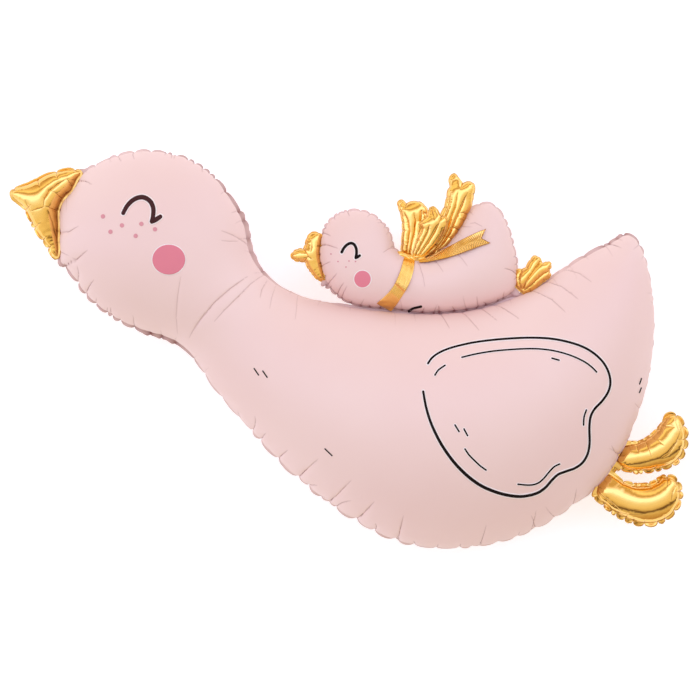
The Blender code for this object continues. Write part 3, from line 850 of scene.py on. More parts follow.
def folds_at(rows, kind, ground):
    """Folds through the given places. All but those in the open start outside the seam."""
    folds = []
    for depth, width, places in rows:
        line = ground.plan(places)
        outside = 0.0 if kind == "open" else np.linalg.norm(line[1] - line[0])
        folds.append(Fold(line, depth * MM, width * MM, kind, outside))
    return folds


edges_of = {}
TAB_REACH = 7 * MM
TRIM_BORDER = 2 * MM
# How much room a drawn fold needs from a placed one, in its own widths
FOLD_ROOM = 1.6


def blow(
    name, node, material, slot, steps, options, rim_rows, seed, folds, quiet=(), outline=None,
    sink=0.0, tabs=(),
):
    """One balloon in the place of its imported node. steps are those along the seam and inside.

    An outline of its own, as places of the view, has its seam one trim border inside it, and may lie
    sunk below the node's plane. A tab is where the border stands further out: its place, and how far
    across and down it reaches.
    """
    rng = np.random.default_rng(seed)
    step, inner_step = steps
    edge, seams, plane = pattern_of(node)
    if outline:
        edge = turned_left(around(spots(*outline), step))
        seam = edge - outward(edge) * TRIM_BORDER
        seams = [seam[nearest(seam, edge)[1] > TRIM_BORDER * 0.96]]
        plane[2] -= sink
    edge = around(edge, step)
    seams = [around(seam, step) for seam in seams]
    edges_of[node] = edge
    for across, down, right, below in tabs:
        near = np.exp(-((np.linalg.norm(edge - spot(across, down), axis=1) / TAB_REACH) ** 2))
        edge = edge + near[:, None] * np.array([right, -below]) * UNIT
    rims = [Rim(seam, rim_rows) for seam in seams]
    ground = Ground(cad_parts[node])
    folds = [fold for kind, rows in folds.items() for fold in folds_at(rows, kind, ground)]
    placed = np.array([f.line[1] for f in folds if f.from_rim])
    for rim in rims:
        drawn = rim.folds(step, rng)
        if len(placed):
            clear = nearest(np.array([f.line[1] for f in drawn]), placed)[1]
            drawn = [f for f, room in zip(drawn, clear) if room > f.width * FOLD_ROOM]
        folds += drawn
    film = Film(edge, seams, step, inner_step, folds)
    x, to_low, crease = blown_film(film, options, rims, folds, [edges_of[q] for q in quiet], plane, rng)
    piece = closed_film(name, film, x, to_low, crease, material)
    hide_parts(node)
    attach(piece, "root")
    return piece


GOOSE_TABS = [
    (84, 175, -5, -5), (66, 262, -11, 6), (243, 214, 1.6, -0.6), (248, 224, 1.8, -0.6),
    (251, 235, 1.8, -0.4), (253, 246, 1.8, -0.4), (256, 256, 1.6, -0.6), (148, 334, -0.4, 2),
    (160, 339, -0.4, 2), (172, 343, -0.4, 2),
]
GOSLING_TABS = [(514, 292, 5, 4), (325, 284, -5, 2)]
GOSLING_FILM = PINK_FILM | {
    "deepest": 4 * MM,
    "swell": 1.4 * MM,
    "rim_pull": 0.6,
    "border_grow": 1.25,
    "ruffle": 14,
    "spare_reach": 20 * MM,
}
LOOP_FILM = GOLD_FILM | {
    "fullness": 0.7,
    "deepest": 8 * MM,
    "rim_pull": 0.25,
    "border_grow": 1.0,
    "spare": 0.03,
    "ruffle": 10,
    "stiff": 0.25,
}

BEAK_RIM = [
    (20, 186, 1.8, 34, 7, 5, 0.7, 0.3), (62, 169, 1.8, 36, 7, 10, 0.7, 0.3),
    (70, 196, 1.0, 16, 6, -20, 0.4, 0.8), (62, 235, 1.0, 16, 6, -20, 0.4, 0.8),
    (56, 259, 1.6, 24, 6, 0, 0.6, 0.3), (30, 226, 1.8, 30, 7, 5, 0.7, 0.3),
    (12, 201, 1.2, 30, 6, 5, 0.5, 0.3),
]
BEAK_FOLDS = [
    (4.0, 2.6, [(69, 178), (58, 184), (49, 191), (44.5, 199), (44, 208)]),
    (1.6, 1.8, [(50, 190), (57, 194), (64, 200)]),
    (1.4, 1.8, [(66, 179), (70, 183), (73, 188)]),
    (1.6, 1.8, [(45, 206), (53, 209), (62, 213)]),
    (1.4, 1.8, [(32, 211), (38, 209), (45, 207)]),
    (2.2, 2.2, [(47, 209), (52, 222), (55, 234), (60, 250)]),
    (1.2, 1.6, [(26, 199), (29, 206), (33, 212)]),
]
BEAK_RIM_FOLDS = [
    (2.0, 1.6, [(36, 174), (39, 184), (41, 189)]),
    (2.0, 1.6, [(54, 165), (57, 176), (58, 181)]),
    (2.0, 1.6, [(21, 215), (29, 207), (33, 204)]),
    (2.0, 1.6, [(30, 231), (38, 225), (42, 222)]),
    (1.8, 1.6, [(39, 245), (45, 238), (48, 235)]),
    (1.8, 1.6, [(44, 253), (51, 246), (54, 242)]),
    (1.4, 1.6, [(9, 185), (15, 191), (20, 192)]),
]
FEET_RIM = [
    (645, 437, 0.8, 9, 9, -15, 0.2, 0.3), (628, 444, 0.6, 10, 9, -15, 0.1, 0.3),
    (672, 413, 2.2, 15, 8, 5, 0.7, 0.6), (687, 440, 2.4, 16, 8, 5, 0.7, 0.5),
    (676, 466, 2.4, 17, 8, 5, 0.7, 0.4), (650, 473, 1.8, 22, 8, 0, 0.6, 0.5),
    (627, 474, 1.6, 24, 8, -5, 0.6, 0.4), (640, 485, 0.7, 6, 9, -15, 0.1, 0.3),
    (665, 474, 1.8, 14, 8, -5, 0.6, 0.6), (682, 494, 2.4, 14, 8, 5, 0.7, 0.5),
    (668, 519, 2.4, 16, 8, 5, 0.7, 0.4), (643, 527, 2.2, 18, 8, 0, 0.7, 0.4),
    (612, 520, 1.8, 22, 8, -5, 0.6, 0.5), (598, 505, 1.6, 22, 9, -5, 0.5, 0.5),
]
FEET_FOLDS = [
    (1.8, 1.6, [(661, 426), (668, 427), (675, 428)]),
    (2.4, 2.2, [(679, 432), (676, 442), (668, 454), (660, 458)]),
    (1.0, 1.2, [(636.5, 446), (637.5, 450), (638.5, 454)]),
    (1.3, 1.3, [(645.5, 443), (649, 450), (651.5, 457)]),
    (1.2, 1.3, [(656.5, 439), (660, 442.5), (664.5, 446)]),
    (1.4, 2.0, [(674, 420), (677, 428), (679, 433)]),
    (2.0, 2.2, [(596, 488), (604, 496), (613, 503), (622, 511)]),
    (1.8, 2.4, [(676, 483), (672, 492), (670, 501)]),
]
FEET_RIM_FOLDS = [
    (2.0, 1.6, [(678, 406), (676, 416), (674, 422)]),
    (2.0, 2.4, [(604, 522), (612, 510), (628, 513), (646, 514)]),
]

SMALL_BEAK_RIM = [
    (305, 238, 0.8, 9, 4, 5, 0.4, 0.5), (294, 258, 0.8, 9, 4, 5, 0.4, 0.5),
    (314, 276, 0.8, 9, 4, 0, 0.4, 0.5),
]
SMALL_BEAK_OUTLINE = [
    (322, 236), (319.5, 233.6), (315.9, 232.3), (311.4, 232.6), (308.3, 235.7), (306, 241), (303.8, 248),
    (299, 249), (294.5, 251), (291.3, 254.5), (291.8, 258), (295.4, 260.7), (299.8, 261.6), (305, 262.4),
    (307.9, 267.9), (312.3, 274), (316.8, 279), (321.3, 281), (325, 280), (323.5, 272), (321.5, 262),
    (320.5, 252), (321.5, 243),
]
SMALL_BEAK_FOLDS = [
    (2.4, 1.8, [(302, 246), (305, 251), (308, 256), (313, 260)]),
    (1.8, 1.5, [(302, 264), (305, 260), (308.5, 256.5)]),
    (1.6, 1.5, [(312, 239), (312, 246), (310.5, 253)]),
]
SMALL_FEET_RIM = [
    (547, 263, 1.4, 10, 5, 5, 0.5, 0.5), (536, 257, 1.4, 10, 5, 5, 0.5, 0.5),
    (545, 281, 1.4, 10, 5, 0, 0.5, 0.5), (528, 294, 1.0, 10, 5, 0, 0.4, 0.4),
    (519, 280, 0.6, 10, 5, 0, 0.2, 0.5),
]
SMALL_FEET_OUTLINE = [
    (514, 272), (518, 269), (524.5, 268), (529, 261), (533.8, 255.9), (539.6, 257.6), (542.4, 262.8),
    (546.5, 261.6), (550.5, 262.7), (551.2, 267), (549.6, 271.2), (551, 275), (547.6, 279.6),
    (540.7, 284.3), (534, 290.5), (525, 294.3), (519.5, 291.5), (515, 286), (513, 279),
]
SMALL_FEET_FOLDS = [
    (4.5, 2.0, [(523, 289), (529, 277), (536, 266.5), (542, 259)]),
    (4.0, 2.0, [(525, 290), (535, 281.5), (544, 273), (552, 269.5)]),
    (3.0, 1.8, [(521, 288), (518.5, 279), (521, 272), (526, 265)]),
]

LOOP_RIM = [
    (405, 215, 1.6, 16, 7, 0, 0.4, 0.7), (440, 230, 1.6, 16, 7, 0, 0.4, 0.7),
    (460, 190, 1.6, 18, 7, 0, 0.4, 0.7),
]
LEFT_LOOP = [
    (403, 258), (400.8, 250), (401.4, 240), (402.2, 229), (401, 217.5), (398.6, 209), (397, 204),
    (399, 200.6), (402.4, 200), (406.4, 202.8), (410, 202), (414.4, 201.2), (419, 201.6), (423, 203.8),
    (426.6, 207.6), (428.6, 213), (428.6, 218), (427, 224), (425, 231), (422.5, 240), (419, 250),
    (415, 258),
]
LEFT_LOOP_FOLDS = [
    (6.5, 2.4, [(406, 262), (405.5, 254), (407.5, 243), (409, 232), (407.5, 221), (404, 210)]),
    (6.5, 2.4, [(409, 262), (409.5, 254), (412, 243), (415, 232), (416, 222), (413.5, 212)]),
    (4.0, 2.0, [(420, 224), (421.5, 217), (421, 210)]),
]
LEFT_LOOP_RIM_FOLDS = [
    (3.2, 2.0, [(406.5, 197), (406.4, 204), (405.5, 211)]),
    (3.5, 1.8, [(431, 214), (427, 214), (421, 212)]),
    (1.8, 1.6, [(396, 230), (402, 230.5), (408, 230)]),
]
MIDDLE_LOOP = [
    (411, 258), (414, 246), (417.5, 237), (420.5, 230), (418, 225), (421, 221.5), (425.5, 218),
    (427.4, 213), (428.6, 208.6), (432.8, 207.4), (436.6, 210.6), (439.4, 215.4), (444.4, 218.2),
    (447, 222.6), (446.4, 229), (443.6, 236), (439.6, 243), (434, 249.4), (427, 255.6), (420, 259.4),
]
MIDDLE_LOOP_FOLDS = [
    (6.5, 2.4, [(412, 262), (416, 253), (422, 242), (428, 231), (430, 224)]),
    (6.5, 2.4, [(416, 263), (421, 254), (429, 242.5), (436, 231), (440, 221)]),
    (5.0, 2.2, [(420, 263), (428, 253.5), (436, 245), (441.5, 236), (443.5, 227)]),
]
MIDDLE_LOOP_RIM_FOLDS = [
    (5.0, 2.0, [(430, 203), (432, 210), (434, 217), (434.5, 222)]),
    (3.0, 1.8, [(442, 214), (440.5, 219), (438, 224)]),
]
RIGHT_LOOP = [
    (416, 259), (424, 252), (431, 244), (436, 236), (439, 229), (439.5, 223), (439, 218),
    (441, 213), (444.3, 205.5), (446.4, 197), (447.9, 190), (449.8, 186), (448.9, 179.8), (451, 175),
    (454.6, 173.2), (457.8, 175.6), (460.6, 180), (463.8, 182.4), (467.4, 181.4), (471, 181.6),
    (474.4, 183.8), (475, 190.5), (473.8, 196), (472.6, 202), (471, 209.4), (468, 216),
    (464.6, 222.6), (460.4, 229.4), (456, 236), (451.6, 242.4), (443.5, 250), (433, 256.8), (424, 261),
]
RIGHT_LOOP_FOLDS = [
    (7.0, 2.8, [(421, 263), (434, 251), (443, 238), (449, 222), (455.5, 205), (458.5, 190)]),
    (6.5, 2.6, [(424, 263), (440, 249), (449.5, 234), (456, 220), (463, 204), (467, 192)]),
    (5.0, 2.2, [(441, 226), (444.5, 216), (448.5, 204), (451.5, 191)]),
]
RIGHT_LOOP_RIM_FOLDS = [
    (5.0, 2.0, [(464, 178), (462.6, 184), (459.5, 190)]),
    (1.5, 1.8, [(445, 184), (449.5, 187), (452, 190)]),
    (3.5, 1.8, [(473, 214), (466, 214), (459, 213)]),
    (3.5, 1.8, [(463, 231), (456.5, 229), (449, 227)]),
    (3.0, 1.8, [(456, 241), (449.5, 238), (444, 236)]),
]

# The gold balloons, all in the gold foil: the imported node, steps along the seam and inside, how
# its film gathers, its rim, a seed, its folds, the neighbours it lies still against, its own
# outline, and how far it lies sunk
GOLD_STEPS = (1.1 * MM, 2.2 * MM)
TRIM_STEPS = (0.8 * MM, 1.3 * MM)
GOLD_BALLOONS = [
    (
        "goose_beak", GOLD_STEPS, GOLD_FILM | {"fullness": 1.0}, BEAK_RIM, 13,
        {"open": BEAK_FOLDS, "rim": BEAK_RIM_FOLDS}, ("goose_body",), None, 0,
    ),
    (
        "goose_feet", GOLD_STEPS, GOLD_FILM, FEET_RIM, 14,
        {"open": FEET_FOLDS, "rim": FEET_RIM_FOLDS}, ("goose_body",), None, 0,
    ),
    (
        "gosling_beak", TRIM_STEPS, GOLD_FILM, SMALL_BEAK_RIM, 15,
        {"open": SMALL_BEAK_FOLDS}, (), SMALL_BEAK_OUTLINE, 2 * MM,
    ),
    (
        "gosling_feet", TRIM_STEPS, LOOP_FILM, SMALL_FEET_RIM, 16,
        {"through": SMALL_FEET_FOLDS}, (), SMALL_FEET_OUTLINE, 2 * MM,
    ),
    (
        "bow_loop_left", TRIM_STEPS, LOOP_FILM, LOOP_RIM, 17,
        {"through": LEFT_LOOP_FOLDS[:2], "open": LEFT_LOOP_FOLDS[2:], "rim": LEFT_LOOP_RIM_FOLDS}, (),
        LEFT_LOOP, 0,
    ),
    (
        "bow_loop_middle", TRIM_STEPS, LOOP_FILM, LOOP_RIM, 18,
        {"through": MIDDLE_LOOP_FOLDS, "rim": MIDDLE_LOOP_RIM_FOLDS}, (), MIDDLE_LOOP, 0,
    ),
    (
        "bow_loop_right", TRIM_STEPS, LOOP_FILM, LOOP_RIM, 19,
        {"through": RIGHT_LOOP_FOLDS[:2], "open": RIGHT_LOOP_FOLDS[2:], "rim": RIGHT_LOOP_RIM_FOLDS}, (),
        RIGHT_LOOP, 0,
    ),
]


# Materials

# The part of a noise's range that is spread over the whole change, and how much finer and lower the
# fine slack is than the broad one
NOISE_SPAN = (0.3, 0.7)
FINE_SLACK_RATIO = 9
FINE_SLACK_SHARE = 0.12


def shader_of(name):
    material = bpy.data.materials.new(name)
    material.use_nodes = True
    return material, material.node_tree.nodes["Principled BSDF"]


def film_grain_group():
    """Slow changes of tone and gloss over a film, its painted crease and border shade, and its fine slack.
    """
    group = bpy.data.node_groups.new("film_grain", "ShaderNodeTree")
    face = group.interface
    for name, kind, value in (
        ("Tint", "Color", (0.8, 0.8, 0.8, 1)),
        ("Deep Tint", "Color", (0.7, 0.7, 0.7, 1)),
        ("Crease Tint", "Color", (0.4, 0.4, 0.4, 1)),
        ("Cloud Scale", "Float", 6.0),
        ("Slack Scale", "Float", 40.0),
        ("Low Roughness", "Float", 0.1),
        ("High Roughness", "Float", 0.2),
    ):
        socket = face.new_socket(name, in_out="INPUT", socket_type="NodeSocket" + kind)
        socket.default_value = value
    for name, kind in (("Color", "Color"), ("Roughness", "Float"), ("Height", "Float")):
        face.new_socket(name, in_out="OUTPUT", socket_type="NodeSocket" + kind)
    nodes, links = group.nodes, group.links
    inputs, outputs = nodes.new("NodeGroupInput"), nodes.new("NodeGroupOutput")
    place = nodes.new("ShaderNodeTexCoord")
    cloud, slack, fine = (nodes.new("ShaderNodeTexNoise") for _ in range(3))
    for noise, detail in ((cloud, 3), (slack, 4), (fine, 2)):
        noise.inputs["Detail"].default_value = detail
        links.new(place.outputs["Object"], noise.inputs["Vector"])
    slack.inputs["Distortion"].default_value = 0.6
    larger = nodes.new("ShaderNodeMath")
    larger.operation = "MULTIPLY"
    larger.inputs[1].default_value = FINE_SLACK_RATIO
    links.new(inputs.outputs["Cloud Scale"], cloud.inputs["Scale"])
    links.new(inputs.outputs["Slack Scale"], slack.inputs["Scale"])
    links.new(inputs.outputs["Slack Scale"], larger.inputs[0])
    links.new(larger.outputs[0], fine.inputs["Scale"])
    spread, gloss = (nodes.new("ShaderNodeMapRange") for _ in range(2))
    for span, noise in ((spread, cloud), (gloss, slack)):
        span.inputs["From Min"].default_value = NOISE_SPAN[0]
        span.inputs["From Max"].default_value = NOISE_SPAN[1]
        links.new(noise.outputs["Fac"], span.inputs["Value"])
    # The attribute "crease" holds the painted shade of folds and borders, and the tail's darker pleats and
    # edges; the crease tint is mixed in by it
    creased = nodes.new("ShaderNodeAttribute")
    creased.attribute_name = "crease"
    tone, shaded = (nodes.new("ShaderNodeMix") for _ in range(2))
    tone.data_type = shaded.data_type = "RGBA"
    links.new(spread.outputs["Result"], tone.inputs["Factor"])
    links.new(inputs.outputs["Tint"], tone.inputs["A"])
    links.new(inputs.outputs["Deep Tint"], tone.inputs["B"])
    links.new(creased.outputs["Fac"], shaded.inputs["Factor"])
    links.new(tone.outputs["Result"], shaded.inputs["A"])
    links.new(inputs.outputs["Crease Tint"], shaded.inputs["B"])
    links.new(inputs.outputs["Low Roughness"], gloss.inputs["To Min"])
    links.new(inputs.outputs["High Roughness"], gloss.inputs["To Max"])
    part = nodes.new("ShaderNodeMath")
    part.operation = "MULTIPLY_ADD"
    part.inputs[1].default_value = FINE_SLACK_SHARE
    links.new(fine.outputs["Fac"], part.inputs[0])
    links.new(slack.outputs["Fac"], part.inputs[2])
    links.new(shaded.outputs["Result"], outputs.inputs["Color"])
    links.new(gloss.outputs["Result"], outputs.inputs["Roughness"])
    links.new(part.outputs[0], outputs.inputs["Height"])
    return group


def foil(name, group, values, metallic, slack_height, shine=0.5):
    """A foil finish: the film's grain with this foil's own values."""
    material, shader = shader_of(name)
    nodes, links = material.node_tree.nodes, material.node_tree.links
    grain = nodes.new("ShaderNodeGroup")
    grain.node_tree = group
    for socket, value in values.items():
        grain.inputs[socket].default_value = value
    bump = nodes.new("ShaderNodeBump")
    bump.inputs["Strength"].default_value = 1.0
    bump.inputs["Distance"].default_value = slack_height
    links.new(grain.outputs["Height"], bump.inputs["Height"])
    links.new(bump.outputs["Normal"], shader.inputs["Normal"])
    links.new(grain.outputs["Color"], shader.inputs["Base Color"])
    links.new(grain.outputs["Roughness"], shader.inputs["Roughness"])
    shader.inputs["Metallic"].default_value = metallic
    shader.inputs["Specular IOR Level"].default_value = shine
    return material


def ink(name, colour, group):
    """Print on the film: a flat colour with the film's own slow change of tone."""
    deep = tuple(0.9 * c for c in colour)
    values = {
        "Tint": (*colour, 1),
        "Deep Tint": (*deep, 1),
        "Cloud Scale": 9.0,
        "Slack Scale": 60.0,
        "Low Roughness": 0.6,
        "High Roughness": 0.7,
    }
    return foil(name, group, values, 0.0, 0.00002, 0.15)


def ribbed(name, group, values, ribs):
    """A gold foil with fine ribs, along and across the piece's own UV map."""
    material = foil(name, group, values, 1.0, 0.0001)
    nodes, links = material.node_tree.nodes, material.node_tree.links
    bump = next(n for n in nodes if n.type == "BUMP")
    rib_bump = nodes.new("ShaderNodeBump")
    rib_bump.inputs["Strength"].default_value = 1.0
    rib_bump.inputs["Distance"].default_value = ribs[2]
    place = nodes.new("ShaderNodeTexCoord")
    mapping = nodes.new("ShaderNodeMapping")
    mapping.inputs["Scale"].default_value = (ribs[0], ribs[1], 1)
    wave = nodes.new("ShaderNodeTexWave")
    wave.bands_direction = "DIAGONAL"
    wave.inputs["Scale"].default_value = 1.0
    wave.inputs["Distortion"].default_value = 1.2
    wave.inputs["Detail"].default_value = 2
    links.new(place.outputs["UV"], mapping.inputs["Vector"])
    links.new(mapping.outputs["Vector"], wave.inputs["Vector"])
    links.new(wave.outputs["Fac"], rib_bump.inputs["Height"])
    links.new(bump.outputs["Normal"], rib_bump.inputs["Normal"])
    links.new(rib_bump.outputs["Normal"], nodes["Principled BSDF"].inputs["Normal"])
    return material


grain_group = film_grain_group()
PINK_VALUES = {
    "Tint": (0.87, 0.665, 0.625, 1),
    "Deep Tint": (0.855, 0.635, 0.60, 1),
    # Painted shade: the colour of the creases and of the darkened border
    "Crease Tint": (0.26, 0.075, 0.065, 1),
    "Cloud Scale": 5.0,
    "Slack Scale": 22.0,
    "Low Roughness": 0.48,
    "High Roughness": 0.56,
}
GOLD_VALUES = {
    "Tint": (0.97, 0.62, 0.19, 1),
    "Deep Tint": (0.95, 0.58, 0.15, 1),
    # Painted shade: the colour of the creases and of the darkened border, also used for the tail's darker
    # pleats and edges
    "Crease Tint": (0.34, 0.10, 0.01, 1),
    "Cloud Scale": 20.0,
    "Slack Scale": 70.0,
    "Low Roughness": 0.1,
    "High Roughness": 0.16,
}
pink = foil("pink_foil", grain_group, PINK_VALUES, 0.1, 0.0003, 0.2)
gold = foil("gold_foil", grain_group, GOLD_VALUES, 1.0, 0.0002)
band_gold = ribbed("ribbon_band_gold", grain_group, GOLD_VALUES, (0.5, 7, 0.0002))
tail_gold = ribbed("ribbon_tail_gold", grain_group, GOLD_VALUES, (28, 4, 0.0003))
brown_ink = ink("brown_ink", (0.06, 0.018, 0.019), grain_group)
black_ink = ink("black_ink", (0.006, 0.0015, 0.0015), grain_group)
pale_ink = ink("pale_ink", (0.97, 0.86, 0.84), grain_group)
blush_ink = ink("blush_ink", (0.80, 0.25, 0.32), grain_group)
freckle_ink = ink("freckle_ink", (0.74, 0.33, 0.37), grain_group)


# The balloons

for node in ("gosling_body", "goose_beak", "goose_feet", "gosling_beak", "gosling_feet"):
    edges_of[node] = around(pattern_of(node)[0], 4 * MM)
goose = blow(
    "goose_body_film", "goose_body", pink, "pink_foil", (2.2 * MM, 5.0 * MM), PINK_FILM, GOOSE_RIM, 11,
    {"open": GOOSE_FOLDS, "rim": GOOSE_RIM_FOLDS}, ("gosling_body", "goose_beak", "goose_feet"),
    tabs=GOOSE_TABS,
)
gosling = blow(
    "gosling_body_film", "gosling_body", pink, "pink_foil", (1.3 * MM, 2.6 * MM), GOSLING_FILM,
    GOSLING_RIM, 12, {"open": GOSLING_FOLDS, "rim": GOSLING_RIM_FOLDS},
    ("goose_body", "gosling_beak", "gosling_feet"), tabs=GOSLING_TABS,
)
for node, *rest in GOLD_BALLOONS:
    blow(node + "_film", node, gold, "gold_foil", *rest)


# The ribbon

def points_of(mesh):
    co = np.empty(len(mesh.vertices) * 3)
    mesh.vertices.foreach_get("co", co)
    return co.reshape(-1, 3)


def walled(strip, thickness):
    """Gives the active strip a wall of even thickness, out of the side that it faces."""
    wall = strip.modifiers.new("wall", "SOLIDIFY")
    wall.thickness = thickness
    wall.offset = 1
    bpy.ops.object.modifier_apply(modifier=wall.name)


def grid_piece(name, long_count, wide_count, place, thickness, material):
    """A strip from a grid, each of its points moved to its place, with a wall of even thickness.

    place takes how far along and how far across a point is, from 0 to 1, as arrays.
    """
    deselect()
    bpy.ops.mesh.primitive_grid_add(x_subdivisions=long_count, y_subdivisions=wide_count, size=1)
    strip = bpy.context.active_object
    strip.name = strip.data.name = name
    mesh = strip.data
    co = points_of(mesh)
    mesh.vertices.foreach_set("co", place(co[:, 0] + 0.5, co[:, 1] + 0.5).ravel())
    mesh.update()
    if thickness:
        walled(strip, thickness)
    mesh.shade_smooth()
    mesh.materials.append(material)
    return strip


def from_table(table, u, v):
    """Points of a table of rows and columns, at shares along and across."""
    rows, columns = table.shape[:2]
    a, b = u * (rows - 1), v * (columns - 1)
    i, j = np.minimum(a.astype(int), rows - 2), np.minimum(b.astype(int), columns - 2)
    s, t = (a - i)[:, None], (b - j)[:, None]
    near = table[i, j] * (1 - t) + table[i, j + 1] * t
    far = table[i + 1, j] * (1 - t) + table[i + 1, j + 1] * t
    return near * (1 - s) + far * s


def pulled_taut(places, heights):
    """The heights of a line stretched over the given ones."""
    taut = [0]
    for i in range(1, len(places)):
        while len(taut) > 1:
            a, b = taut[-2:]
            before = (heights[b] - heights[a]) / (places[b] - places[a])
            if (heights[i] - heights[b]) / (places[i] - places[b]) < before:
                break
            taut.pop()
        taut.append(i)
    return np.interp(places, np.array(places)[taut], np.array(heights)[taut])


BAND_TOP = (409.5, 257)
BAND_FOOT = (381.5, 310)
BAND_WIDTH = 20 * MM
BAND_BOW = 9 * MM
BAND_CLEARANCE = 1.0 * MM
BAND_END_ROOM = 5 * MM
BAND_COLUMNS = 13
BAND_STATIONS = 90
# It is drawn in at the bow and wider where it ends
BAND_PINCH = 0.12
BAND_PINCH_REACH = 11 * MM
BAND_FLARE = 0.3
# The small pleats that run from the bow: their height and how far they reach
BAND_PLEAT = 0.5 * MM
BAND_PLEAT_REACH = 14 * MM
# A ridge across the band at the neck's crest: where it starts to rise, its place along the arm,
# height, the width that it falls in, how far it wavers and slants, the lower fold beyond it, as a
# share of its height, and how crumpled the end is
BAND_RISE_FROM = 8 * MM
BAND_DENT_AT = 0.52
BAND_DENT = 3.6 * MM
BAND_DENT_HALF = 3.6 * MM
BAND_DENT_JAG = 1.2 * MM
BAND_DENT_SLANT = 4 * MM
BAND_LOWER_FOLD = 0.3
BAND_CRUMPLE = 1.1 * MM
BAND_CRUMPLE_WAVE = 2.2 * MM
RIBBON_THICKNESS = 0.4 * MM


def band_arm(ground, column, level, side):
    """One column of the band from the bow over one side of the neck to where it ends."""
    top, foot = spot(*BAND_TOP), spot(*BAND_FOOT)
    length = np.linalg.norm(foot - top)
    across = (foot - top) / length
    along = np.array([-across[1], across[0]])
    q = np.linspace(0, length, BAND_STATIONS)
    pinch = 1 - BAND_PINCH * np.exp(-((q / BAND_PINCH_REACH) ** 2))
    pinch = pinch + BAND_FLARE * eased(q, length * 0.6, length)
    bow = BAND_BOW * np.sin(math.pi * q / length)
    plan = top + across * q[:, None] + along * (column * BAND_WIDTH * pinch + bow)[:, None]
    feel = ground.top if side > 0 else ground.foot
    height = pulled_taut(q, [side * (feel(x, y, level) - level) for x, y in plan])
    slope = np.gradient(height, q)
    room = BAND_CLEARANCE / np.sqrt(1 + slope**2)
    crease = BAND_PLEAT * np.sin(column * 17 + side) * np.exp(-q / BAND_PLEAT_REACH)
    dent = BAND_DENT_AT * length + BAND_DENT_JAG * math.sin(column * 31) + column * BAND_DENT_SLANT
    rise = np.clip((q - BAND_RISE_FROM) / (dent - BAND_RISE_FROM), 0, 1)
    crease += BAND_DENT * rise * (1 - eased(q, dent, dent + BAND_DENT_HALF))
    lower = BAND_DENT_AT * length + BAND_DENT_SLANT * 4 + column * BAND_DENT_SLANT * 2
    crease += BAND_LOWER_FOLD * BAND_DENT * np.exp(-(((q - lower) / BAND_DENT_HALF) ** 2))
    crumple = np.sin(q / BAND_CRUMPLE_WAVE + column * 9) * eased(q, length * 0.8, length * 0.88)
    crease += BAND_CRUMPLE * crumple
    z = height + room + crease
    plan = plan - across * (slope * room)[:, None]
    kept = q < length - BAND_END_ROOM
    line = np.column_stack([plan, level + side * z])[kept]
    start = top - across * BAND_CLEARANCE + along * column * BAND_WIDTH * pinch[0]
    return np.vstack([[*start, level], line])


def ribbon_band(material, ground, level):
    table = []
    for column in np.linspace(-0.5, 0.5, BAND_COLUMNS):
        front, back = (evenly(band_arm(ground, column, level, side), 1, BAND_STATIONS) for side in (1, -1))
        table.append(np.vstack([front[::-1], back[1:]]))
    table = np.array(table).transpose(1, 0, 2)
    band = grid_piece(
        "ribbon_band_foil", 2 * BAND_STATIONS, BAND_COLUMNS * 2,
        lambda u, v: from_table(table, u, v), RIBBON_THICKNESS, material,
    )
    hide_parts("ribbon_band")
    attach(band, "root")
    return band


# The tail's middle line with its half width, then how far its two points reach past the notch
TAIL_LINE = [
    (419, 261.0, 1.6), (427, 259.8, 2.3), (436, 257.0, 3.4), (446, 253.4, 4.7), (456, 249.2, 5.7),
    (466, 244.4, 6.6), (475, 240.4, 7.2), (481.5, 238.2, 7.5),
]
TAIL_POINTS = 7.0
TAIL_LIFT = 0.9 * MM
# How far its sides curl up, and the slow swells along it
TAIL_CURL = 1.6 * MM
TAIL_SWELL = 2.4 * MM
TAIL_SWELLS = 2.3
TAIL_STATIONS = 90
TAIL_COLUMNS = 21
TAIL_PARTS = (320, 30)
# How far round each of its points the gosling is felt
TAIL_FEEL = 2 * MM
# The fine pleats that are pressed into it: how many run across it, how far they slant, how dark
# they are, and how wide its dark edge is as a share of its width
TAIL_PLEATS = 42
TAIL_SLANT = 7
TAIL_SHADE = 0.85
TAIL_EDGE = 0.045


def pleated(tail):
    """Darkens the pressed pleats and the edges of the tail, by its own UV map."""
    mesh = tail.data
    u, v = np.zeros(len(mesh.vertices)), np.zeros(len(mesh.vertices))
    for loop, place in zip(mesh.loops, mesh.uv_layers.active.data):
        u[loop.vertex_index], v[loop.vertex_index] = place.uv
    wave = 0.5 + 0.5 * np.sin(2 * math.pi * (TAIL_PLEATS * u + TAIL_SLANT * np.abs(v - 0.4)))
    pleat = TAIL_SHADE * wave**3 * eased(u, 0.25, 0.6)
    edge = np.minimum(np.minimum(v, 1 - v) / TAIL_EDGE, (1 - u) / (TAIL_EDGE / 3))
    crease = np.maximum(pleat, 1 - eased(edge, 0.3, 1.0))
    mesh.attributes.new("crease", "FLOAT", "POINT").data.foreach_set("value", crease)


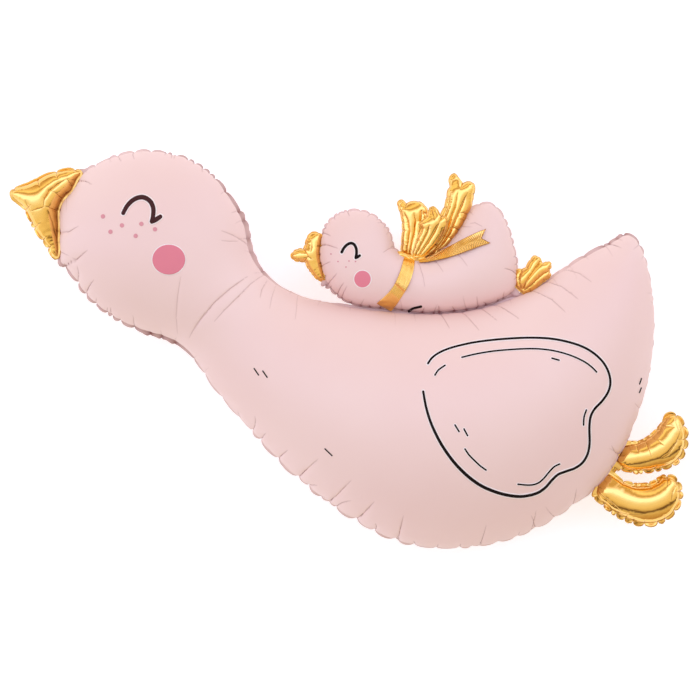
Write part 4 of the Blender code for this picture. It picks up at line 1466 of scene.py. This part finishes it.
def ribbon_tail(material, ground, level):
    rows = np.array(TAIL_LINE, float)
    line = rounded(np.column_stack([spots(*rows[:, :2]), rows[:, 2] * UNIT]), False)
    line = evenly(line, 1, TAIL_STATIONS)
    side = sideways(line[:, :2])
    forward = unit(line[-1, :2] - line[-4, :2])
    shares = np.linspace(-1, 1, TAIL_COLUMNS)
    feel = (-TAIL_FEEL, 0, TAIL_FEEL)
    table = np.zeros((len(line), TAIL_COLUMNS, 3))
    for j, share in enumerate(shares):
        plan = line[:, :2] + side * (line[:, 2] * share)[:, None]
        push = TAIL_POINTS * UNIT * abs(share) * eased(np.arange(len(line)) / len(line), 0.55, 1.0)
        plan = np.array([tuple(ground.seen(x, y)[0])[:2] for x, y in plan + forward * push[:, None]])
        z = [max(ground.top(x + dx, y + dy, level) for dx in feel for dy in feel) for x, y in plan]
        table[:, j] = np.column_stack([plan, z])
    z = table[:, :, 2]
    for _ in range(6):
        middle = (z[:-2] + 2 * z[1:-1] + z[2:]) / 4
        z[1:-1] = np.maximum(middle, z[1:-1])
    along = np.linspace(0, 1, len(line))[:, None]
    share = shares[None, :]
    curl = TAIL_CURL * share**2 * eased(along, 0.2, 0.8)
    swell = TAIL_SWELL * (1 - np.cos(2 * math.pi * (TAIL_SWELLS * along + 0.12 * share))) / 2
    table[:, :, 2] = z + TAIL_LIFT + curl + swell
    tail = grid_piece(
        "ribbon_tail_foil", *TAIL_PARTS, lambda u, v: from_table(table, u, v), RIBBON_THICKNESS,
        material,
    )
    pleated(tail)
    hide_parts("ribbon_tail")
    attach(tail, "root")
    return tail


KNOT_PLACE = (410.5, 258.4)
KNOT_SIZE = (45 * MM, 13 * MM, 13 * MM)
KNOT_TURN = math.radians(-11)
KNOT_PLEATS = 9
KNOT_SMILE = 4.2 * MM


def bow_knot(material):
    """The gathered middle of the bow: a spindle with pleats that run into its two ends."""
    low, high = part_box("bow_knot")
    deselect()
    bpy.ops.mesh.primitive_uv_sphere_add(segments=96, ring_count=64, radius=0.5)
    knot = bpy.context.active_object
    knot.name = knot.data.name = "bow_knot_foil"
    x, y, z = points_of(knot.data).T
    turn = np.arctan2(y, x)
    bend = turn + 0.5 * np.sin(z * 5) + 0.25 * np.sin(z * 11 + turn)
    pleat = 1 - 0.2 * np.abs(np.sin(bend * KNOT_PLEATS / 2)) ** 0.6 + 0.05 * np.sin(turn * 5 + z * 9)
    waist = 0.8 + 0.35 * np.abs(2 * z) ** 1.5
    # The sphere's round ends become blunt ones
    blunt, ball = (np.sqrt(np.clip(1 - (2 * z) ** power, 0, 1)) for power in (4, 2))
    flare = blunt / np.maximum(ball, 0.05)
    scale = pleat * waist * np.minimum(flare, 3)
    place = np.column_stack([z * KNOT_SIZE[0], y * scale * KNOT_SIZE[1], x * scale * KNOT_SIZE[2]])
    place[:, 1] += KNOT_SMILE * (2 * z) ** 2
    c, s = math.cos(KNOT_TURN), math.sin(KNOT_TURN)
    middle = spot(*KNOT_PLACE)
    co = np.column_stack(
        [
            middle[0] + place[:, 0] * c - place[:, 1] * s,
            middle[1] + place[:, 0] * s + place[:, 1] * c,
            (low.z + high.z) / 2 + place[:, 2],
        ]
    )
    knot.data.vertices.foreach_set("co", co.ravel())
    deselect()
    knot.select_set(True)
    bpy.ops.object.mode_set(mode="EDIT")
    bpy.ops.mesh.select_all(action="SELECT")
    bpy.ops.mesh.normals_make_consistent(inside=False)
    bpy.ops.object.mode_set(mode="OBJECT")
    knot.data.shade_smooth()
    knot.data.materials.append(material)
    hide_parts("bow_knot")
    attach(knot, "root")
    return knot


# The gosling's seam plane lies this much above the goose's
GOSLING_RISE = 0.0021
gosling_level = SEAM_PLANE + GOSLING_RISE
gosling_ground = Ground(gosling)
ribbon_band(band_gold, gosling_ground, gosling_level)
ribbon_tail(tail_gold, gosling_ground, gosling_level)
bow_knot(gold)


# The print

PRINT_THICKNESS = 0.08 * MM
HALO_LIFT = 0.10 * MM
INK_LIFT = 0.24 * MM
STROKE_STEP = 1.2 * MM
CAP_ANGLES = np.radians([0, 20, 40, 60, 80])


def laid(strip, ground, lift, front):
    """Moves the strip's points onto the film, where the camera sees them, or onto its back there."""
    mesh = strip.data
    placed = []
    for x, y, _ in points_of(mesh):
        point, normal = ground.seen(x, y)
        if not front:
            point, normal = ground.opposite(point.x, point.y)
        placed.append(point + normal * lift)
    mesh.vertices.foreach_set("co", np.array(placed).ravel())
    mesh.update()


def finish_print(strip, material, front):
    if not front:
        strip.data.flip_normals()
    deselect()
    strip.select_set(True)
    bpy.context.view_layer.objects.active = strip
    walled(strip, PRINT_THICKNESS)
    strip.data.shade_smooth()
    strip.data.materials.append(material)
    return strip


def stroke(places, width, material, ground, lift, spare=0.0, front=True):
    """A brush stroke through places of the view. Its width is in view units, and may change."""
    line = evenly(rounded(spots(*places), False), STROKE_STEP, 4)
    along = along_of(line)
    width = np.atleast_1d(width)
    widths = np.interp(along / along[-1], np.linspace(0, 1, len(width)), width)
    widths = widths * UNIT + 2 * spare
    first, last = widths[0] / 2, widths[-1] / 2
    start, stop = unit(line[0] - line[1]), unit(line[-1] - line[-2])
    head = [(line[0] + start * first * math.cos(a), math.sin(a) * widths[0]) for a in CAP_ANGLES]
    foot = [(line[-1] + stop * last * math.cos(a), math.sin(a) * widths[-1]) for a in CAP_ANGLES[::-1]]
    middle = np.vstack([[p for p, _ in head], line, [p for p, _ in foot]])
    widths = np.concatenate([[w for _, w in head], widths, [w for _, w in foot]])
    side = sideways(middle)

    def place(u, v):
        i = np.clip(np.round(u * (len(middle) - 1)).astype(int), 0, len(middle) - 1)
        plan = middle[i] + side[i] * (widths[i] * (v - 0.5))[:, None]
        return np.column_stack([plan, np.zeros(len(plan))])

    strip = grid_piece("stroke", len(middle) - 1, 4, place, 0, material)
    strip.data.materials.clear()
    laid(strip, ground, lift, front)
    return finish_print(strip, material, front)


def dot(centre, radius, material, ground, lift, count, front=True):
    """A round spot of ink. radius is across and down, in view units."""
    middle = spot(*centre)

    def place(u, v):
        a, b = 2 * u - 1, 2 * v - 1
        x, y = a * np.sqrt(1 - b * b / 2), b * np.sqrt(1 - a * a / 2)
        plan = middle + np.column_stack([x * radius[0], y * radius[1]]) * UNIT
        return np.column_stack([plan, np.zeros(len(plan))])

    strip = grid_piece("dot", count, count, place, 0, material)
    strip.data.materials.clear()
    laid(strip, ground, lift, front)
    return finish_print(strip, material, front)


def joined(name, pieces):
    """The pieces as one, riding on the balloon that they are printed on."""
    deselect()
    for piece in pieces:
        piece.select_set(True)
    bpy.context.view_layer.objects.active = pieces[0]
    if len(pieces) > 1:
        bpy.ops.object.join()
    whole = bpy.context.active_object
    whole.name = whole.data.name = name
    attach(whole, "root")
    return whole


GOOSE_EYE = [
    (123.2, 213.2), (127, 206.2), (132.5, 200.5), (139, 197.5), (145, 197.8), (150.5, 201.8), (153.2, 208),
    (153.2, 215), (151.8, 221.5),
]
GOOSE_EYE_HOOK = [(151.8, 221.8), (156, 219.6), (160.3, 216.6)]
GOOSE_CHEEK = ((168.8, 259.6), (16.4, 14.9))
GOOSE_FRECKLES = [(103, 216.4), (122, 225.4), (141.4, 223.9), (110.5, 231.8), (135.7, 235.9), (155, 229.3)]
WING_EDGE = [
    (428, 363.5), (431.5, 358.5), (437, 354), (445, 350), (455, 346.7), (470, 343.2), (484, 341),
    (500, 339.3), (520, 338), (535, 337.8), (550, 338.6), (565, 341.2), (580, 345.7), (592, 352),
    (602, 361), (608, 371), (610.3, 382), (608, 392), (602, 401), (594.5, 409), (590.5, 417),
    (589.3, 428), (589.5, 443), (587.5, 454), (582.5, 462.5), (575, 468), (566, 471.3), (558, 474.5),
    (551.5, 480.5), (545.5, 487.3), (538, 492.6), (528, 495.6), (518, 496.4), (505, 494.6),
    (492, 490.6), (480, 485), (468, 476.3), (456, 464.5), (446, 451.5), (438, 438.2), (431, 423),
    (426.2, 407.5), (423.2, 391.5),
]
WING_WIDTHS = [2.1, 2.1, 2.2, 2.3, 2.3, 2.4, 2.4, 2.6, 3.2, 3.3, 2.9, 2.3]
LINE_WIDTH = 1.7
DASH_WIDTH = 1.25
GOSLING_LINE_WIDTH = 2.4
WING_LINES = [
    [
        (462, 357.3), (475, 354.2), (490, 351.6), (505, 350), (525, 348.8), (540, 349), (555, 351),
        (570, 355.2), (583, 361), (591, 366.5), (596.5, 372),
    ],
    [(435, 375), (438.5, 370), (445, 365.4)],
    [(552, 358.2), (559, 360.2)],
    [(583.5, 425), (584, 417), (586.3, 410)],
    [(518, 484.2), (530, 485), (538, 483), (544, 478), (549, 472), (554, 466.8), (559.5, 464)],
    [(465, 449), (469, 454.8), (474, 460), (480, 465.6), (486, 470)],
    [(455, 425), (459, 431.5)],
    [(464, 429), (467.5, 435.5)],
]
GOOSE_DASHES = [
    [(254.2, 368.5), (258.6, 375)],
    [(262.8, 371), (267.2, 377.3)],
    [(325, 448.8), (332, 455.6)],
    [(641.4, 378.5), (639.5, 384)],
    [(641.2, 388), (639.3, 392.5)],
]
GOSLING_EYE = [
    (341.8, 252.2), (343.8, 248.3), (347.3, 244.6), (351, 243.2), (354.2, 244.6), (356.2, 248.5),
    (356.5, 253), (355.8, 257.6),
]
GOSLING_EYE_HOOK = [(355.8, 257.9), (357.8, 256.9), (359.6, 255.6)]
GOSLING_CHEEK = ((362.5, 279), (8.2, 8.3))
GOSLING_FRECKLES = [(331, 254), (338, 261.5), (349, 261), (346, 267), (355.5, 261.5)]
GOSLING_LINES = [[(409, 311.5), (412.5, 308.6), (421, 306.5)]]
HALO = 1.2 * UNIT


def print_on(name, ground, eye, hook, eye_width, cheek, freckles, freckle_size, eye_ink, dot_ink, front):
    """An eye, a cheek and freckles."""
    end = "" if front else "_back"
    lines = [stroke(line, eye_width, eye_ink, ground, INK_LIFT, 0, front) for line in (eye, hook)]
    halos = [stroke(line, eye_width, pale_ink, ground, HALO_LIFT, HALO, front) for line in (eye, hook)]
    centre, radius = cheek
    rim = tuple(r + 1.0 for r in radius)
    halos.append(dot(centre, rim, pale_ink, ground, HALO_LIFT, 26, front))
    joined(name + "_eye" + end, lines)
    joined(name + "_halo" + end, halos)
    joined(name + "_cheek" + end, [dot(centre, radius, blush_ink, ground, INK_LIFT, 26, front)])
    size = (freckle_size, freckle_size)
    spots_of_ink = [dot(place, size, dot_ink, ground, INK_LIFT, 8, front) for place in freckles]
    joined(name + "_freckles" + end, spots_of_ink)


goose_ground = Ground(goose)
for front in (True, False):
    print_on(
        "goose", goose_ground, GOOSE_EYE, GOOSE_EYE_HOOK, [4.0, 4.6, 4.8, 4.6, 4.2], GOOSE_CHEEK,
        GOOSE_FRECKLES, 2.2, brown_ink, freckle_ink, front,
    )
    print_on(
        "gosling", gosling_ground, GOSLING_EYE, GOSLING_EYE_HOOK, [2.8, 2.9, 2.8], GOSLING_CHEEK,
        GOSLING_FRECKLES, 0.8, black_ink, freckle_ink, front,
    )
wing = [stroke(WING_EDGE, WING_WIDTHS, black_ink, goose_ground, INK_LIFT)]
halo = [stroke(WING_EDGE, WING_WIDTHS, pale_ink, goose_ground, HALO_LIFT, HALO)]
for line in WING_LINES:
    wing.append(stroke(line, LINE_WIDTH, black_ink, goose_ground, INK_LIFT))
    halo.append(stroke(line, LINE_WIDTH, pale_ink, goose_ground, HALO_LIFT, HALO * 0.7))
for line in GOOSE_DASHES:
    wing.append(stroke(line, DASH_WIDTH, black_ink, goose_ground, INK_LIFT))
joined("goose_wing_lines", wing)
joined("goose_wing_halo", halo)
marks = [stroke(line, GOSLING_LINE_WIDTH, black_ink, gosling_ground, INK_LIFT) for line in GOSLING_LINES]
joined("gosling_wing_lines", marks)


# The studio: light from all round, strongest towards the view's upper left, with two dark strips
# for the gold to mirror

FLOOR_SIZE = 24
LIGHT_SIDE = (-0.35, 0.93, 0.1)
WORLD_STRENGTH = 2.4
# From the far side of the studio to the lit one: the place, from 0 to 1, and the light's colour
WORLD_STOPS = [
    (0.00, (0.20, 0.12, 0.06)),
    (0.10, (0.28, 0.22, 0.13)),
    (0.16, (0.38, 0.34, 0.26)),
    (0.20, (0.03, 0.01, 0.005)),
    (0.235, (0.03, 0.01, 0.005)),
    (0.27, (0.30, 0.25, 0.16)),
    (0.38, (0.42, 0.38, 0.30)),
    (0.47, (0.38, 0.37, 0.33)),
    (0.58, (0.47, 0.49, 0.54)),
    (0.65, (0.72, 0.80, 1.34)),
    (0.72, (0.72, 0.80, 1.34)),
    (0.79, (0.38, 0.30, 0.17)),
    (0.85, (0.18, 0.10, 0.03)),
    (0.89, (0.54, 0.50, 0.38)),
    (0.92, (0.54, 0.50, 0.38)),
    (1.00, (0.20, 0.10, 0.03)),
]


def studio_world():
    world = bpy.data.worlds.new("studio")
    world.use_nodes = True
    nodes, links = world.node_tree.nodes, world.node_tree.links
    place = nodes.new("ShaderNodeTexCoord")
    toward = nodes.new("ShaderNodeVectorMath")
    toward.operation = "DOT_PRODUCT"
    toward.inputs[1].default_value = Vector(LIGHT_SIDE).normalized()
    share = nodes.new("ShaderNodeMapRange")
    share.inputs["From Min"].default_value = -1
    ramp = nodes.new("ShaderNodeValToRGB")
    ramp.color_ramp.interpolation = "B_SPLINE"
    stops = ramp.color_ramp.elements
    while len(stops) < len(WORLD_STOPS):
        stops.new(0.5)
    for stop, (at, colour) in zip(stops, WORLD_STOPS):
        stop.position = at
        stop.color = (*colour, 1)
    links.new(place.outputs["Generated"], toward.inputs[0])
    links.new(toward.outputs["Value"], share.inputs["Value"])
    links.new(share.outputs["Result"], ramp.inputs["Fac"])
    links.new(ramp.outputs["Color"], nodes["Background"].inputs["Color"])
    nodes["Background"].inputs["Strength"].default_value = WORLD_STRENGTH
    return world


bpy.context.scene.world = studio_world()
bpy.context.scene.view_settings.view_transform = "Standard"


def studio_floor():
    deselect()
    bpy.ops.mesh.primitive_plane_add(size=FLOOR_SIZE, location=(0, 0, FLOOR_LEVEL))
    floor = bpy.context.active_object
    floor.name = "floor"
    material, shader = shader_of("pale_floor")
    shader.inputs["Base Color"].default_value = (0.8, 0.8, 0.82, 1)
    shader.inputs["Roughness"].default_value = 0.9
    shader.inputs["Emission Color"].default_value = (1, 1, 1, 1)
    shader.inputs["Emission Strength"].default_value = 0.4
    floor.data.materials.append(material)


studio_floor()
